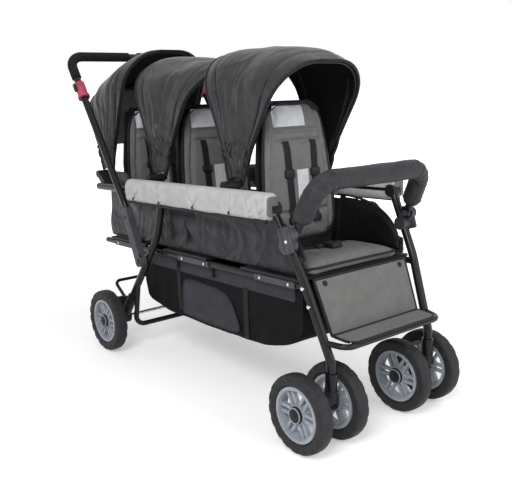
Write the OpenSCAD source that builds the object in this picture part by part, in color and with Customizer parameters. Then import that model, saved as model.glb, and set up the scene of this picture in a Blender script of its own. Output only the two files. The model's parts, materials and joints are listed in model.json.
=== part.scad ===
// Three-seat tandem stroller. Millimetres, +X forward, +Y to the child's left, +Z up.
// Design coordinates run from the middle of the wheelbase on the floor; the finished part is
// moved along X so that its origin is the bottom centre of its box.

/* [Wheels] */
// Distance between the front and rear axles
wheel_base = 984; // [960:1:1010]
// Diameter of every tyre
wheel_d = 222; // [214:1:228]
// Width of every tyre
tyre_w = 45; // [38:1:48]
// Diameter of the rim that carries the tyre
rim_d = 154; // [146:1:160]
// Width over the rear tyres
rear_width = 660; // [652:1:680]
// Diameter of the wheel axles
axle_d = 12; // [10:0.5:14]
// Spoke pairs in a rim
spoke_count = 6; // [5:1:7]

/* [Casters] */
// Distance of each caster stem from the centre plane
caster_y = 200; // [194:1:206]
// Distance from a caster stem to its two wheel planes
twin_offset = 66.5; // [65:0.5:72]
// Distance of the stem in front of the front axle
caster_trail = 46; // [40:1:52]
// Diameter of the swivel stem
stem_d = 18; // [14:0.5:20]
// Height of the swivel socket's mouth above the floor
socket_z = 176; // [172:1:184]

/* [Frame] */
// Outside diameter of the leg, rail and handle tubes
tube_d = 25; // [22:0.5:26]
// Distance of the rear legs inside the planes of the rear wheels
leg_inset = 67.5; // [64:0.5:70]
// Height of the side rail at its rear end
rail_rear_z = 577; // [570:1:590]
// Height of the side rail at its front end
rail_front_z = 640; // [632:1:648]
// Rear end of the side rail, behind the wheelbase middle
rail_rear_x = 640; // [630:1:655]
// Front end of the side rail, ahead of the wheelbase middle
rail_front_x = 345; // [340:1:352]
// Outside diameter of the lower rails
low_rail_d = 20; // [18:0.5:21]
// Height of the lower rail at its front end
low_front_z = 441; // [437:1:446]
// Distance of the lower rails inside the side rails
low_inset = 25; // [23:0.5:26]
// Diameter of the footrest loop tube
foot_tube_d = 16; // [14:0.5:18]
// Height of the footrest loop's tube centre
foot_z = 303; // [296:1:312]
// Front of the footrest loop, ahead of the wheelbase middle
foot_x = 582; // [572:1:590]

/* [Seats] */
// Hinge of the front seat back, ahead of the wheelbase middle
front_seat_x = 200; // [192:1:206]
// Hinge of the middle seat back, ahead of the wheelbase middle
middle_seat_x = -218; // [-226:1:-210]
// Hinge of the rear seat back, ahead of the wheelbase middle
rear_seat_x = -582; // [-588:1:-574]
// Distance of the seat backs' edges inside those of the seat pads
back_inset = 40; // [38:1:46]
// Depth of the seat pads from the hinge forward
seat_depth = 238; // [225:1:245]
// Thickness of the seat pads at the crown
seat_pad_t = 44; // [36:1:50]
// Length of the seat backs
back_len = 455; // [435:1:470]
// Lean of the seat backs behind upright
back_lean = 8; // [6:0.5:11]
// Thickness of the back pads at the crown
back_pad_t = 34; // [26:1:40]

/* [Canopies] */
// Height of the canopy pivots above the side rail
pivot_rise = 42; // [38:1:46]
// Distance of the canopy pivots behind the hinges of the seat backs
pivot_back = 92; // [88:1:96]
// Angle of the front bows above the horizontal
front_bow_angle = 62; // [58:1:66]
// Angle of the fixed rear bows above the horizontal
rear_bow_angle = 116; // [114:1:120]
// Reach of the front bows from their pivots
front_bow_len = 395; // [385:1:400]
// Reach of the rear bows from their pivots
rear_bow_len = 408; // [400:1:414]
// Angle of the rear seat's front bow, which stands higher
tall_bow_angle = 71; // [69:1:74]
// Reach of the rear seat's front bow
tall_bow_len = 462; // [450:1:466]
// Angle of the rear seat's fixed bow
short_bow_angle = 121; // [119:1:123]
// Reach of the rear seat's fixed bow
short_bow_len = 350; // [340:1:354]
// Diameter of the bow wire
bow_d = 8; // [6:0.5:9]
// Share of a bow's half width that each rounded corner takes
bow_round = 0.79; // [0.65:0.01:0.85]
// Thickness of the canopy cloth
cloth_t = 2.6; // [2:0.1:3.2]

/* [Handle] */
// Height of the handle's crossbar
handle_z = 1040; // [1030:1:1052]
// Handle crossbar behind the wheelbase middle
handle_x = 780; // [772:1:790]
// Outside diameter of the foam grips
grip_d = 34; // [31:0.5:38]
// Thickness of the fold links
link_t = 24.5; // [22:0.5:27]
// Diameter of the fold pivot pins
fold_pin_d = 12; // [10:0.5:14]

/* [Bumper and brake] */
// Height of the bumper bar
bumper_z = 723; // [715:1:730]
// Front of the bumper bar, ahead of the wheelbase middle
bumper_x = 482; // [472:1:490]
// Outside diameter of the padded bumper sleeve
bumper_d = 52; // [46:1:54]
// Reach of the brake bar behind its pivot
brake_reach = 82; // [74:1:88]

/* [Hidden] */
$fn = 48;

// Clearances
run_gap = 0.05;
soft_gap = 0.4;
side_gap = 2;

// Radii and wheel places
tube_r = tube_d / 2;
low_r = low_rail_d / 2;
wheel_r = wheel_d / 2;
rim_r = rim_d / 2;
axle_r = axle_d / 2;
bow_r = bow_d / 2;
front_axle_x = wheel_base / 2;
rear_axle_x = -wheel_base / 2;
rear_wheel_y = (rear_width - tyre_w) / 2;
frame_y = rear_wheel_y - leg_inset;
low_rail_y = frame_y - low_inset;
caster_x = front_axle_x + caster_trail;
stem_r = stem_d / 2;

// Side rail and lower rail lines
rail_slope = (rail_front_z - rail_rear_z) / (rail_front_x + rail_rear_x);
function rail_z(x) = rail_rear_z + (x + rail_rear_x) * rail_slope;
low_front_x = caster_x - 86;
low_rear_x = -rail_rear_x;
function low_z(x) = low_front_z + (x - low_front_x) * rail_slope;

// Legs. The front leg leaves its swivel socket upright and leans back to the rail's front end.
socket_len = 48;
leg_bend_z = socket_z + 74;
front_leg_mid = [caster_x - 88, low_rail_y + 7, low_front_z + 18];
function front_leg_path(s) = [
  [caster_x, s * caster_y, socket_z + socket_len - 2],
  [caster_x, s * caster_y, leg_bend_z],
  [front_leg_mid.x, s * front_leg_mid.y, front_leg_mid.z],
  [rail_front_x, s * frame_y, rail_front_z]
];
rear_leg_top_x = -204;
rear_leg_knee = [rear_leg_top_x - 40, frame_y, 455];
rear_leg_foot = [rear_axle_x + 12, frame_y, wheel_r + 17];
function rear_leg_path(s) = [
  [rear_leg_top_x, s * frame_y, rail_z(rear_leg_top_x)],
  [rear_leg_knee.x, s * frame_y, rear_leg_knee.z],
  [rear_leg_foot.x, s * frame_y, rear_leg_foot.z]
];
function on_line(a, b, z) = a + (b - a) * ((z - a.z) / (b.z - a.z));

// Fold pivot on the rear leg and the handle's path
fold_z = 362;
fold_pivot = on_line(rear_leg_knee, rear_leg_foot, fold_z);
link_y0 = frame_y + tube_r + side_gap;
handle_y = link_y0 + link_t / 2;
link_top = [fold_pivot.x - 82, handle_y, fold_z + 158];
handle_knee = [fold_pivot.x - 96, handle_y, fold_z + 185];
link_w = 38;
fold_pin_r = fold_pin_d / 2;
function handle_path() = [
  [fold_pivot.x - 40, -handle_y, fold_z + 77],
  [handle_knee.x, -handle_y, handle_knee.z],
  [-handle_x, -handle_y, handle_z],
  [-handle_x, handle_y, handle_z],
  [handle_knee.x, handle_y, handle_knee.z],
  [fold_pivot.x - 40, handle_y, fold_z + 77]
];
handle_bends = [90, 52, 52, 90];
grip_gap = 22;
collar_z = handle_z - 145;
collar_len = 62;
collar_t = 6;
collar_flange = 10;

// Seats, from the lower rail up
board_t = 8;
board_half_w = low_rail_y + low_r - 1;
hinge_r = 5;
knuckle_r = 9;
seat_xs = [front_seat_x, middle_seat_x, rear_seat_x];
function board_z(x) = low_z(x) + low_r + board_t;
function hinge_z(x) = board_z(x) + knuckle_r + 2;
slope_deg = atan(rail_slope);
panel_y = low_rail_y - low_r - 4.5;
panel_t = 4;
seat_half_w = low_rail_y - low_r - 15;
back_board_t = 7;
back_half_w = seat_half_w - back_inset;
back_top_half_w = back_half_w * 0.79;

// Canopies
front_bow_y = seat_half_w - 25;
rear_bow_y = front_bow_y + bow_d + 2;
bow_corner = front_bow_y * bow_round;
eye_t = 9;
eye_r = 9;
pivot_pin_r = 4;
clip_r = 13;
web_inset = 1;
pin_head_r = 7.5;
pin_head_t = 2.5;
pin_play = 0.5;
function pivot_x(x) = x - pivot_back;
function pivot_z_at(x) = rail_z(pivot_x(x)) + pivot_rise;
function is_rear(x) = x == rear_seat_x;
function front_angle(x) = is_rear(x) ? tall_bow_angle : front_bow_angle;
function rear_angle(x) = is_rear(x) ? short_bow_angle : rear_bow_angle;
function front_len(x) = is_rear(x) ? tall_bow_len : front_bow_len;
function rear_len(x) = is_rear(x) ? short_bow_len : rear_bow_len;
canopy_gap = bow_r + 4.2;
cloth_lap = 1;

// Bumper and brake pivots
bumper_pivot = [front_leg_mid.x - 32, 0, bumper_z - 143];
bumper_eye_r = 13;
bumper_eye_y = low_rail_y + 7;
bumper_eye_t = 7;
bumper_pin_r = 6;
bumper_arm = 34;
bumper_plate_t = 17;
bumper_plate_w = 34.6;
bumper_tube_r = 11;
brake_pivot = [rear_axle_x - 28, 0, wheel_r + 54];
brake_y = frame_y - 23.5;
brake_rod_r = 6;
brake_pin_r = 5;
brake_eye_r = 12;
brake_eye_t = 6;
brake_rise = 50;

// Box ends along X, so that the part can be centred
front_end = front_axle_x + wheel_r;
rear_end = -(handle_x + grip_d / 2);
canopy_end = pivot_x(rear_seat_x) + (short_bow_len + canopy_gap + cloth_t) * cos(short_bow_angle + cloth_lap);
origin_x = (front_end + min(rear_end, canopy_end)) / 2;
module in_frame() { translate([-origin_x, 0, 0]) children(); }
echo(box_rear = rear_end, canopy_rear = canopy_end, origin = origin_x);

// Vector helpers
function unit(v) = v / norm(v);

// Round bar between two points
module rod(a, b, r) {
  d = b - a;
  translate(a) rotate([0, acos(d.z / norm(d)), atan2(d.y, d.x)]) cylinder(h = norm(d), r = r);
}

// Bent round tube through a list of points; bends holds the bend radius at each inner point.
// A bend is a hair fatter than the straight runs, which lap a little way into it.
bend_swell = 0.15;
bend_lap = 0.6;
module bent_tube(pts, bends, r) {
  n = len(pts);
  function turn(i) = acos(unit(pts[i] - pts[i - 1]) * unit(pts[i + 1] - pts[i]));
  function tangent(i) = (i == 0 || i == n - 1) ? 0 : bends[i - 1] * tan(turn(i) / 2);
  for (i = [0 : n - 2]) {
    d = unit(pts[i + 1] - pts[i]);
    lap0 = i == 0 ? 0 : bend_lap;
    lap1 = i == n - 2 ? 0 : bend_lap;
    rod(pts[i] + d * (tangent(i) - lap0), pts[i + 1] - d * (tangent(i + 1) - lap1), r);
  }
  for (i = [1 : n - 2]) {
    d0 = unit(pts[i] - pts[i - 1]);
    d1 = unit(pts[i + 1] - pts[i]);
    centre = pts[i] + unit(d1 - d0) * bends[i - 1] / cos(turn(i) / 2);
    u = unit(pts[i] - d0 * tangent(i) - centre);
    w = cross(u, d0);
    multmatrix([
      [u.x, d0.x, w.x, centre.x],
      [u.y, d0.y, w.y, centre.y],
      [u.z, d0.z, w.z, centre.z],
      [0, 0, 0, 1]
    ]) rotate_extrude(angle = turn(i)) translate([bends[i - 1], 0]) circle(r + bend_swell);
  }
}

// Cylinder along Y from y0 to y1
module y_rod(x, z, y0, y1, r) {
  translate([x, min(y0, y1), z]) rotate([-90, 0, 0]) cylinder(h = abs(y1 - y0), r = r);
}

// Flat bar with round ends between two points of the XZ plane. Its straight run stops short of
// the two end centres and is narrower than the ends, so their bores meet only round faces.
bar_inset = 7;
module link_plate(a, b, y0, y1, w) {
  d = b - a;
  half_w = sqrt(w * w / 4 - bar_inset * bar_inset);
  y_rod(a.x, a.z, y0, y1, w / 2 + bend_swell);
  y_rod(b.x, b.z, y0, y1, w / 2 + bend_swell);
  translate([a.x, 0, a.z]) rotate([0, -atan2(d.z, d.x), 0])
    translate([bar_inset, min(y0, y1), -half_w])
    cube([norm([d.x, d.z]) - 2 * bar_inset, abs(y1 - y0), 2 * half_w]);
}

// Closed solid between two point grids of the same size
module grid_solid(top, bottom) {
  nu = len(top);
  nv = len(top[0]);
  count = nu * nv;
  function id(i, j, side) = side * count + i * nv + j;
  function quad(a, b, c, d) = [[a, b, c], [a, c, d]];
  faces = concat(
    [for (i = [0 : nu - 2], j = [0 : nv - 2])
      each quad(id(i, j, 0), id(i, j + 1, 0), id(i + 1, j + 1, 0), id(i + 1, j, 0))],
    [for (i = [0 : nu - 2], j = [0 : nv - 2])
      each quad(id(i, j, 1), id(i + 1, j, 1), id(i + 1, j + 1, 1), id(i, j + 1, 1))],
    [for (i = [0 : nu - 2])
      each quad(id(i, 0, 0), id(i + 1, 0, 0), id(i + 1, 0, 1), id(i, 0, 1))],
    [for (i = [0 : nu - 2])
      each quad(id(i, nv - 1, 0), id(i, nv - 1, 1), id(i + 1, nv - 1, 1), id(i + 1, nv - 1, 0))],
    [for (j = [0 : nv - 2])
      each quad(id(0, j, 0), id(0, j, 1), id(0, j + 1, 1), id(0, j + 1, 0))],
    [for (j = [0 : nv - 2])
      each quad(id(nu - 1, j, 0), id(nu - 1, j + 1, 0), id(nu - 1, j + 1, 1), id(nu - 1, j, 1))]
  );
  polyhedron(
    points = concat([for (row = top) each row], [for (row = bottom) each row]),
    faces = faces
  );
}

// Sewn pad in its own plane: length along +X, width along Y, crown along +Z.
// w0 and w1 are the half widths at its two ends, channels the sewn lines across its width.
module sewn_pad(length, w0, w1, edge_t, crown_t, corner, draw_in, channels, groove) {
  nu = 10;
  nv = 16;
  function half_w(u) = (w0 + (w1 - w0) * u - draw_in * sin(180 * u))
    - corner * pow(abs(2 * u - 1), 12);
  function dome(u, q) = (1 - pow(abs(2 * u - 1), 4)) * (1 - pow(abs(q), 4));
  function seam(q) = min([for (c = channels) 1 - exp(-pow((q - c) / 0.06, 2))]);
  function thick(u, q) = edge_t + (crown_t - edge_t) * dome(u, q) * (1 - groove * (1 - seam(q)));
  top = [for (i = [0 : nu]) [for (j = [0 : nv])
    let (u = i / nu, q = 2 * j / nv - 1) [u * length, q * half_w(u), thick(u, q)]]];
  bottom = [for (i = [0 : nu]) [for (j = [0 : nv])
    let (u = i / nu, q = 2 * j / nv - 1) [u * length, q * half_w(u), 0]]];
  grid_solid(top, bottom);
}

// Legs
module front_leg(s, r) { bent_tube(front_leg_path(s), [60, 320], r); }
module rear_leg(s, r) { bent_tube(rear_leg_path(s), [220], r); }

module front_legs() {
  color("#17171a") for (s = [-1, 1]) difference() {
    union() {
      front_leg(s, tube_r);
      translate([caster_x, s * caster_y, socket_z]) cylinder(h = socket_len, r = tube_r + 4.5);
    }
    translate([caster_x, s * caster_y, socket_z - 1]) cylinder(h = socket_len - 4, r = stem_r + run_gap);
  }
}

fold_boss_r = fold_pin_r + 9;
fold_head_r = fold_pin_r + 4;
fold_head_t = 3.6;
fold_play = 0.4;
module rear_legs() {
  head_y = link_y0 + link_t + fold_play;
  color("#17171a") for (s = [-1, 1]) {
    rear_leg(s, tube_r);
    y_rod(fold_pivot.x, fold_pivot.z, s * frame_y, s * (link_y0 - fold_play), fold_boss_r);
    y_rod(fold_pivot.x, fold_pivot.z, s * frame_y, s * head_y, fold_pin_r);
    y_rod(fold_pivot.x, fold_pivot.z, s * head_y, s * (head_y + fold_head_t), fold_head_r);
  }
}

// Rails
module side_rail(s, r) {
  rod([-rail_rear_x, s * frame_y, rail_rear_z], [rail_front_x, s * frame_y, rail_front_z], r);
}
module side_rails() { color("#1b1b1e") for (s = [-1, 1]) side_rail(s, tube_r); }

module low_rail(s, r) {
  rod([low_rear_x, s * low_rail_y, low_z(low_rear_x)], [low_front_x, s * low_rail_y, low_front_z], r);
}
cross_xs = [rear_seat_x - 40, middle_seat_x + 20, front_seat_x + 20];
module seat_rails() {
  color("#1b1b1e") {
    for (s = [-1, 1]) low_rail(s, low_r);
    for (x = cross_xs)
      y_rod(x, low_z(x), -(low_rail_y - low_r + 2), low_rail_y - low_r + 2, low_r - 3);
  }
}

// Plastic caps that close the front corner of each side frame
module rail_caps() {
  color("#4a4a50") for (s = [-1, 1]) difference() {
    y_rod(rail_front_x + 2, rail_front_z - 2, s * (frame_y - tube_r - 4), s * (frame_y + tube_r + 4),
      tube_r + 6);
    side_rail(s, tube_r);
    front_leg(s, tube_r);
  }
}

// Footrest
foot_half_w = caster_y - 12;
foot_root = on_line([caster_x, caster_y, leg_bend_z], front_leg_mid, foot_z);
module footrest_loop() {
  color("#17171a") bent_tube([
    [foot_root.x, -foot_root.y, foot_z], [foot_x, -foot_half_w, foot_z],
    [foot_x, foot_half_w, foot_z], [foot_root.x, foot_root.y, foot_z]
  ], [36, 36], foot_tube_d / 2);
}

mat_t = 5;
mat_z = foot_z + foot_tube_d / 2 + soft_gap;
mat_rear_x = foot_x - 64;
mat_half_w = foot_half_w - 14;
module foot_mat() {
  color("#6f6f70") translate([mat_rear_x, -mat_half_w, mat_z])
    cube([foot_x + 4 - mat_rear_x, 2 * mat_half_w, mat_t]);
}

calf_t = 8;
calf_top = [front_seat_x + seat_depth + 9, 0, board_z(front_seat_x) + 10];
calf_foot = [mat_rear_x - calf_t, 0, mat_z];
module calf_panel() {
  d = calf_top - calf_foot;
  color("#696968") translate(calf_foot) rotate([0, -atan2(d.z, d.x), 0])
    mirror([0, 0, 1])
    sewn_pad(norm(d), mat_half_w, seat_half_w - 6, calf_t - 3, calf_t, 0, 0, [-0.9, 0.9], 0.3);
}

// Rear cross tube, axle and the plastic housings at the foot of the rear legs
stretcher_r = 9;
stretcher_z = 95;
stretcher_x = rear_axle_x + 74;
stretcher_top = on_line(rear_leg_knee, rear_leg_foot, wheel_r + 150);
module rear_stretcher() {
  color("#17171a") bent_tube([
    [stretcher_top.x, -frame_y, stretcher_top.z], [stretcher_x, -frame_y + 4, stretcher_z],
    [stretcher_x, frame_y - 4, stretcher_z], [stretcher_top.x, frame_y, stretcher_top.z]
  ], [40, 40], stretcher_r);
}

hub_half = tyre_w / 2 - 1;
hub_reach = 5;
axle_inset = 6;
module rear_axle() {
  color("silver") y_rod(rear_axle_x, wheel_r, -(rear_wheel_y + hub_half - axle_inset),
    rear_wheel_y + hub_half - axle_inset, axle_r);
}

axle_boss_r = 24;
brake_arm_w = 30;
leg_sleeve_h = 92;
leg_sleeve_t = 5;
bracket_y0 = frame_y - tube_r - 4;
bracket_y1 = rear_wheel_y - hub_half - hub_reach - 0.6;
module axle_brackets() {
  color("#26262a") for (s = [-1, 1]) {
    difference() {
      union() {
        y_rod(rear_axle_x, wheel_r, s * bracket_y0, s * bracket_y1, axle_boss_r);
        link_plate([rear_axle_x, 0, wheel_r], [brake_pivot.x, 0, brake_pivot.z],
          s * bracket_y0, s * (frame_y + tube_r + 4), brake_arm_w);
        rod(rear_leg_path(s)[2], on_line(rear_leg_path(s)[2], rear_leg_path(s)[1], wheel_r + leg_sleeve_h),
          tube_r + leg_sleeve_t);
      }
      rear_leg(s, tube_r);
      y_rod(rear_axle_x, wheel_r, s * (bracket_y0 - 1), s * (bracket_y1 + 1), axle_r);
    }
    y_rod(brake_pivot.x, brake_pivot.z, s * bracket_y0, s * (brake_y - brake_eye_t - 3), brake_pin_r);
    y_rod(brake_pivot.x, brake_pivot.z, s * (brake_y - brake_eye_t - 3), s * (brake_y - brake_eye_t - 0.5),
      brake_pin_r + 3);
  }
}

// Canopy clips on the side rails, with the pivot pins of the front bows
module canopy_clip(x, s) {
  px = pivot_x(x);
  pz = pivot_z_at(x);
  clip_x = max(px, clip_r + 5 - rail_rear_x);
  clip_y0 = front_bow_y + eye_t / 2 + pin_play;
  clip_y1 = frame_y - tube_r + 1.2;
  pin_end = front_bow_y - eye_t / 2 - pin_play;
  y_rod(px, pz, s * clip_y0, s * clip_y1, clip_r);
  y_rod(clip_x, rail_z(clip_x), s * clip_y0, s * clip_y1, clip_r);
  web = [clip_x - px, rail_z(clip_x) - pz];
  translate([px, s * (clip_y0 + clip_y1) / 2, pz]) rotate([0, -atan2(web.y, web.x), 0])
    translate([norm(web) / 2, 0, 0])
    cube([norm(web), clip_y1 - clip_y0 - 2 * web_inset, 2 * clip_r - 4], center = true);
  y_rod(px, pz, s * pin_end, s * (clip_y0 + 1), pivot_pin_r);
  y_rod(px, pz, s * (pin_end - pin_head_t), s * pin_end, pin_head_r);
}
module canopy_clips() { color("#202024") for (x = seat_xs, s = [-1, 1]) canopy_clip(x, s); }

// Bow of bent wire in the plane at angle a about a pivot
module bow(x, a, half_y, reach, start) {
  px = pivot_x(x);
  pz = pivot_z_at(x);
  function at(r, y) = [px + r * cos(a), y, pz + r * sin(a)];
  bent_tube([at(start, -half_y), at(reach, -half_y), at(reach, half_y), at(start, half_y)],
    [bow_corner, bow_corner], bow_r);
}

module canopy_rear_bows() {
  color("#202024") for (x = seat_xs) bow(x, rear_angle(x), rear_bow_y, rear_len(x), clip_r - 1.5);
}

module canopy_front_bow(x) {
  color("#202024") difference() {
    union() {
      bow(x, front_angle(x), front_bow_y, front_len(x), 0);
      for (s = [-1, 1])
        y_rod(pivot_x(x), pivot_z_at(x), s * (front_bow_y - eye_t / 2), s * (front_bow_y + eye_t / 2), eye_r);
    }
    for (s = [-1, 1])
      y_rod(pivot_x(x), pivot_z_at(x), s * (front_bow_y - eye_t), s * (front_bow_y + eye_t),
        pivot_pin_r + run_gap);
  }
}

// Canopy cloth: a sheet over the two bows, gathered towards the pivots.
// Across, it follows a bow's outline; along, it runs from the rear bow to the front bow.
module canopy(x) {
  arc_steps = 12;
  along_steps = 10;
  low_r0 = 22;
  cloth_dip = 0.055;
  px = pivot_x(x);
  pz = pivot_z_at(x);
  function profile(half_y, reach, corner) = concat(
    [[half_y, low_r0], [half_y, (low_r0 + reach - corner) / 2]],
    [for (k = [0 : arc_steps]) let (a = 90 * k / arc_steps)
      [half_y - corner + corner * cos(a), reach - corner + corner * sin(a)]]
  );
  function whole(p) = concat(p, [for (k = [len(p) - 1 : -1 : 0]) [-p[k].x, p[k].y]]);
  function section(v, d) = whole(profile(
    rear_bow_y + (front_bow_y - rear_bow_y) * v + d,
    (rear_len(x) + (front_len(x) - rear_len(x)) * v) * (1 - cloth_dip * pow(sin(180 * v), 2)) + d,
    bow_corner + d));
  function grid(d) = [for (k = [0 : along_steps])
    let (v = k / along_steps,
      a = rear_angle(x) + cloth_lap + (front_angle(x) - rear_angle(x) - 2 * cloth_lap) * v)
    [for (p = section(v, d)) [px + p.y * cos(a), p.x, pz + p.y * sin(a)]]];
  color("#4c4c4e") grid_solid(grid(canopy_gap + cloth_t), grid(canopy_gap));
}

// Padded covers over the side rails
cover_rear_x = -396;
cover_front_x = rail_front_x + 12;
cover_h = 74;
cover_w = 48;
cover_y = frame_y - tube_r + 1.5 + cover_w / 2;
module side_cover(s) {
  rings = 16;
  sides = 14;
  function swell(t) = 1 - 0.32 * pow(abs(2 * t - 1), 14) - 0.03 * (1 - cos(1080 * t)) / 2;
  function ring(t) = let (x = cover_rear_x + (cover_front_x - cover_rear_x) * t, k = swell(t))
    [for (j = [0 : sides - 1]) let (a = 360 * j / sides, c = cos(a), d = sin(a))
      [x, s * (cover_y + k * cover_w / 2 * sign(c) * pow(abs(c), 0.6)),
       rail_z(x) + 4 + k * cover_h / 2 * sign(d) * pow(abs(d), 0.7)]];
  pts = [for (i = [0 : rings]) each ring(i / rings)];
  function id(i, j) = i * sides + (j % sides);
  faces = concat(
    [for (i = [0 : rings - 1], j = [0 : sides - 1]) each
      [[id(i, j), id(i, j + 1), id(i + 1, j + 1)], [id(i, j), id(i + 1, j + 1), id(i + 1, j)]]],
    [[for (j = [sides - 1 : -1 : 0]) id(0, j)], [for (j = [0 : sides - 1]) id(rings, j)]]
  );
  difference() {
    polyhedron(points = pts, faces = s > 0 ? faces : [for (f = faces) [for (k = [len(f) - 1 : -1 : 0]) f[k]]]);
    side_rail(s, tube_r + soft_gap);
    rear_leg(s, tube_r + soft_gap);
    front_leg(s, tube_r + soft_gap);
    y_rod(rail_front_x + 2, rail_front_z - 2, s * (frame_y - tube_r - 5), s * (frame_y + tube_r + 4.6),
      tube_r + 6.5);
  }
}
module side_covers() { color("#bcbcbc") for (s = [-1, 1]) side_cover(s); }

// Fabric walls beside the seats
panel_front_x = front_seat_x + seat_depth - 6;
panel_drop = 34;
module side_panels() {
  x0 = rear_seat_x - 40;
  x1 = panel_front_x;
  color("#3a393c") for (s = [-1, 1])
    translate([0, s * panel_y + panel_t / 2, 0]) rotate([90, 0, 0]) linear_extrude(panel_t) polygon([
      [x0, board_z(x0) + soft_gap], [x1, board_z(x1) + soft_gap], [x1 - 8, board_z(x1) + 42],
      [rail_front_x - 4, rail_z(rail_front_x) - panel_drop - 26],
      [front_seat_x - 10, rail_z(front_seat_x) - panel_drop],
      [x0, rail_z(x0) - panel_drop]
    ]);
}

// Storage basket hung between the lower rails: a bag cut from its side outline
basket_half_w = low_rail_y - low_r - soft_gap;
basket_wall = 3;
basket_rear_x = rear_axle_x + 98;
basket_front_x = front_leg_mid.x - 34;
basket_floor = 188;
module basket() {
  outline = [
    [basket_rear_x, low_z(basket_rear_x)], [basket_rear_x - 4, basket_floor + 60],
    [basket_rear_x + 34, basket_floor + 4], [basket_rear_x + 170, basket_floor - 4],
    [basket_front_x - 110, basket_floor + 34], [basket_front_x + 20, basket_floor + 96],
    [basket_front_x - 14, low_z(basket_front_x)]
  ];
  mid = [(basket_rear_x + basket_front_x) / 2, 320];
  function inset(p) = p - [sign(p.x - mid.x) * basket_wall, p.y < mid.y ? -basket_wall : -20];
  color("#1a1a1d") difference() {
    translate([0, basket_half_w, 0]) rotate([90, 0, 0]) linear_extrude(2 * basket_half_w) polygon(outline);
    translate([0, basket_half_w - basket_wall, 0]) rotate([90, 0, 0])
      linear_extrude(2 * (basket_half_w - basket_wall)) polygon([for (p = outline) inset(p)]);
    for (x = cross_xs) y_rod(x, low_z(x), -low_rail_y, low_rail_y, low_r - 3 + 1);
  }
}

// Seat boards with the hinge rods of the backs
module seat_board(x) {
  translate([x, 0, board_z(x) - board_t]) rotate([0, -slope_deg, 0])
    translate([-16, -board_half_w, 0]) cube([seat_depth + 8, 2 * board_half_w, board_t]);
  for (s = [-1, 1]) {
    ear_y = s * (back_half_w - 14);
    translate([x - 9, ear_y - 5, board_z(x) - board_t / 2])
      cube([18, 10, hinge_z(x) - board_z(x) + board_t / 2]);
    y_rod(x, hinge_z(x), ear_y - 5, ear_y + 5, 9);
  }
  y_rod(x, hinge_z(x), -(back_half_w - 10), back_half_w - 10, hinge_r);
}
module seat_boards() { color("#2a2a2d") for (x = seat_xs) seat_board(x); }

pad_start = 34;
module seat_pad(x) {
  color("#696968") translate([x, 0, board_z(x)]) rotate([0, -slope_deg, 0])
    translate([pad_start, 0, soft_gap])
    sewn_pad(seat_depth - pad_start, seat_half_w, seat_half_w - 4, seat_pad_t * 0.45, seat_pad_t, 14, 5,
      [-0.5, 0.5], 0.35);
}

// Moulded edge strips that hold the seat cloth along the lower rails
strip_len = 168;
strip_h = 17;
strip_t = 5;
strip_starts = [front_seat_x + 52, middle_seat_x + 78, rear_seat_x + 20];
module seat_strips() {
  color("#4b4b50") for (x = strip_starts, s = [-1, 1]) difference() {
    translate([x, s * (low_rail_y + low_r + strip_t / 2 - 1.5), low_z(x)]) rotate([0, -slope_deg, 0])
      translate([0, -strip_t / 2, -strip_h / 2]) cube([strip_len, strip_t, strip_h]);
    low_rail(s, low_r);
  }
}

// Rivets through the frame and snaps on the covers
rivet_r = 5;
snap_xs = [-330, -170, 20, 200];
module frame_rivets() {
  low_leg = on_line(rear_leg_knee, rear_leg_foot, low_z(rear_leg_knee.x));
  color("#b9bbbd") for (s = [-1, 1]) {
    y_rod(low_leg.x, low_z(low_leg.x), s * (low_rail_y + low_r - 4), s * (frame_y + tube_r + 2), rivet_r);
    for (d = [0, 46]) let (p = on_line([caster_x, caster_y, leg_bend_z], front_leg_mid, low_front_z - d))
      y_rod(p.x, p.z, s * p.y, s * (p.y + tube_r + 3), rivet_r);
    for (x = strip_starts, d = [24, strip_len - 24])
      y_rod(x + d, low_z(x + d), s * (low_rail_y + low_r + strip_t - 4), s * (low_rail_y + low_r + strip_t),
        rivet_r - 1);
    for (x = snap_xs)
      y_rod(x, rail_z(x) - 22, s * (cover_y + cover_w / 2 - 8), s * (cover_y + cover_w / 2 + 1), rivet_r);
  }
}

// Brackets that carry the bumper bar on the front legs
module bumper_brackets() {
  leg_at = on_line(front_leg_mid, [rail_front_x, frame_y, rail_front_z], bumper_pivot.z - bumper_arm);
  arm_y0 = bumper_eye_y + bumper_eye_t + 1.5;
  arm_y1 = arm_y0 + bumper_plate_t;
  head_y = bumper_eye_y - bumper_eye_t - pin_play;
  color("#6e7078") for (s = [-1, 1]) {
    difference() {
      union() {
        link_plate([leg_at.x, 0, leg_at.z], [bumper_pivot.x, 0, bumper_pivot.z], s * arm_y0, s * arm_y1,
          bumper_plate_w);
        y_rod(leg_at.x, leg_at.z, s * (leg_at.y - tube_r - 4), s * (arm_y1 + 0.6), tube_r + 7.5);
      }
      front_leg(s, tube_r);
    }
    y_rod(bumper_pivot.x, bumper_pivot.z, s * head_y, s * (arm_y0 + 6), bumper_pin_r);
    y_rod(bumper_pivot.x, bumper_pivot.z, s * (head_y - 3), s * head_y, bumper_pin_r + 4);
  }
}

// Seat backs, drawn in their own plane and leaned about the hinge
module back_frame(x) {
  translate([x, 0, hinge_z(x)]) rotate([0, -back_lean, 0]) children();
}

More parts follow.
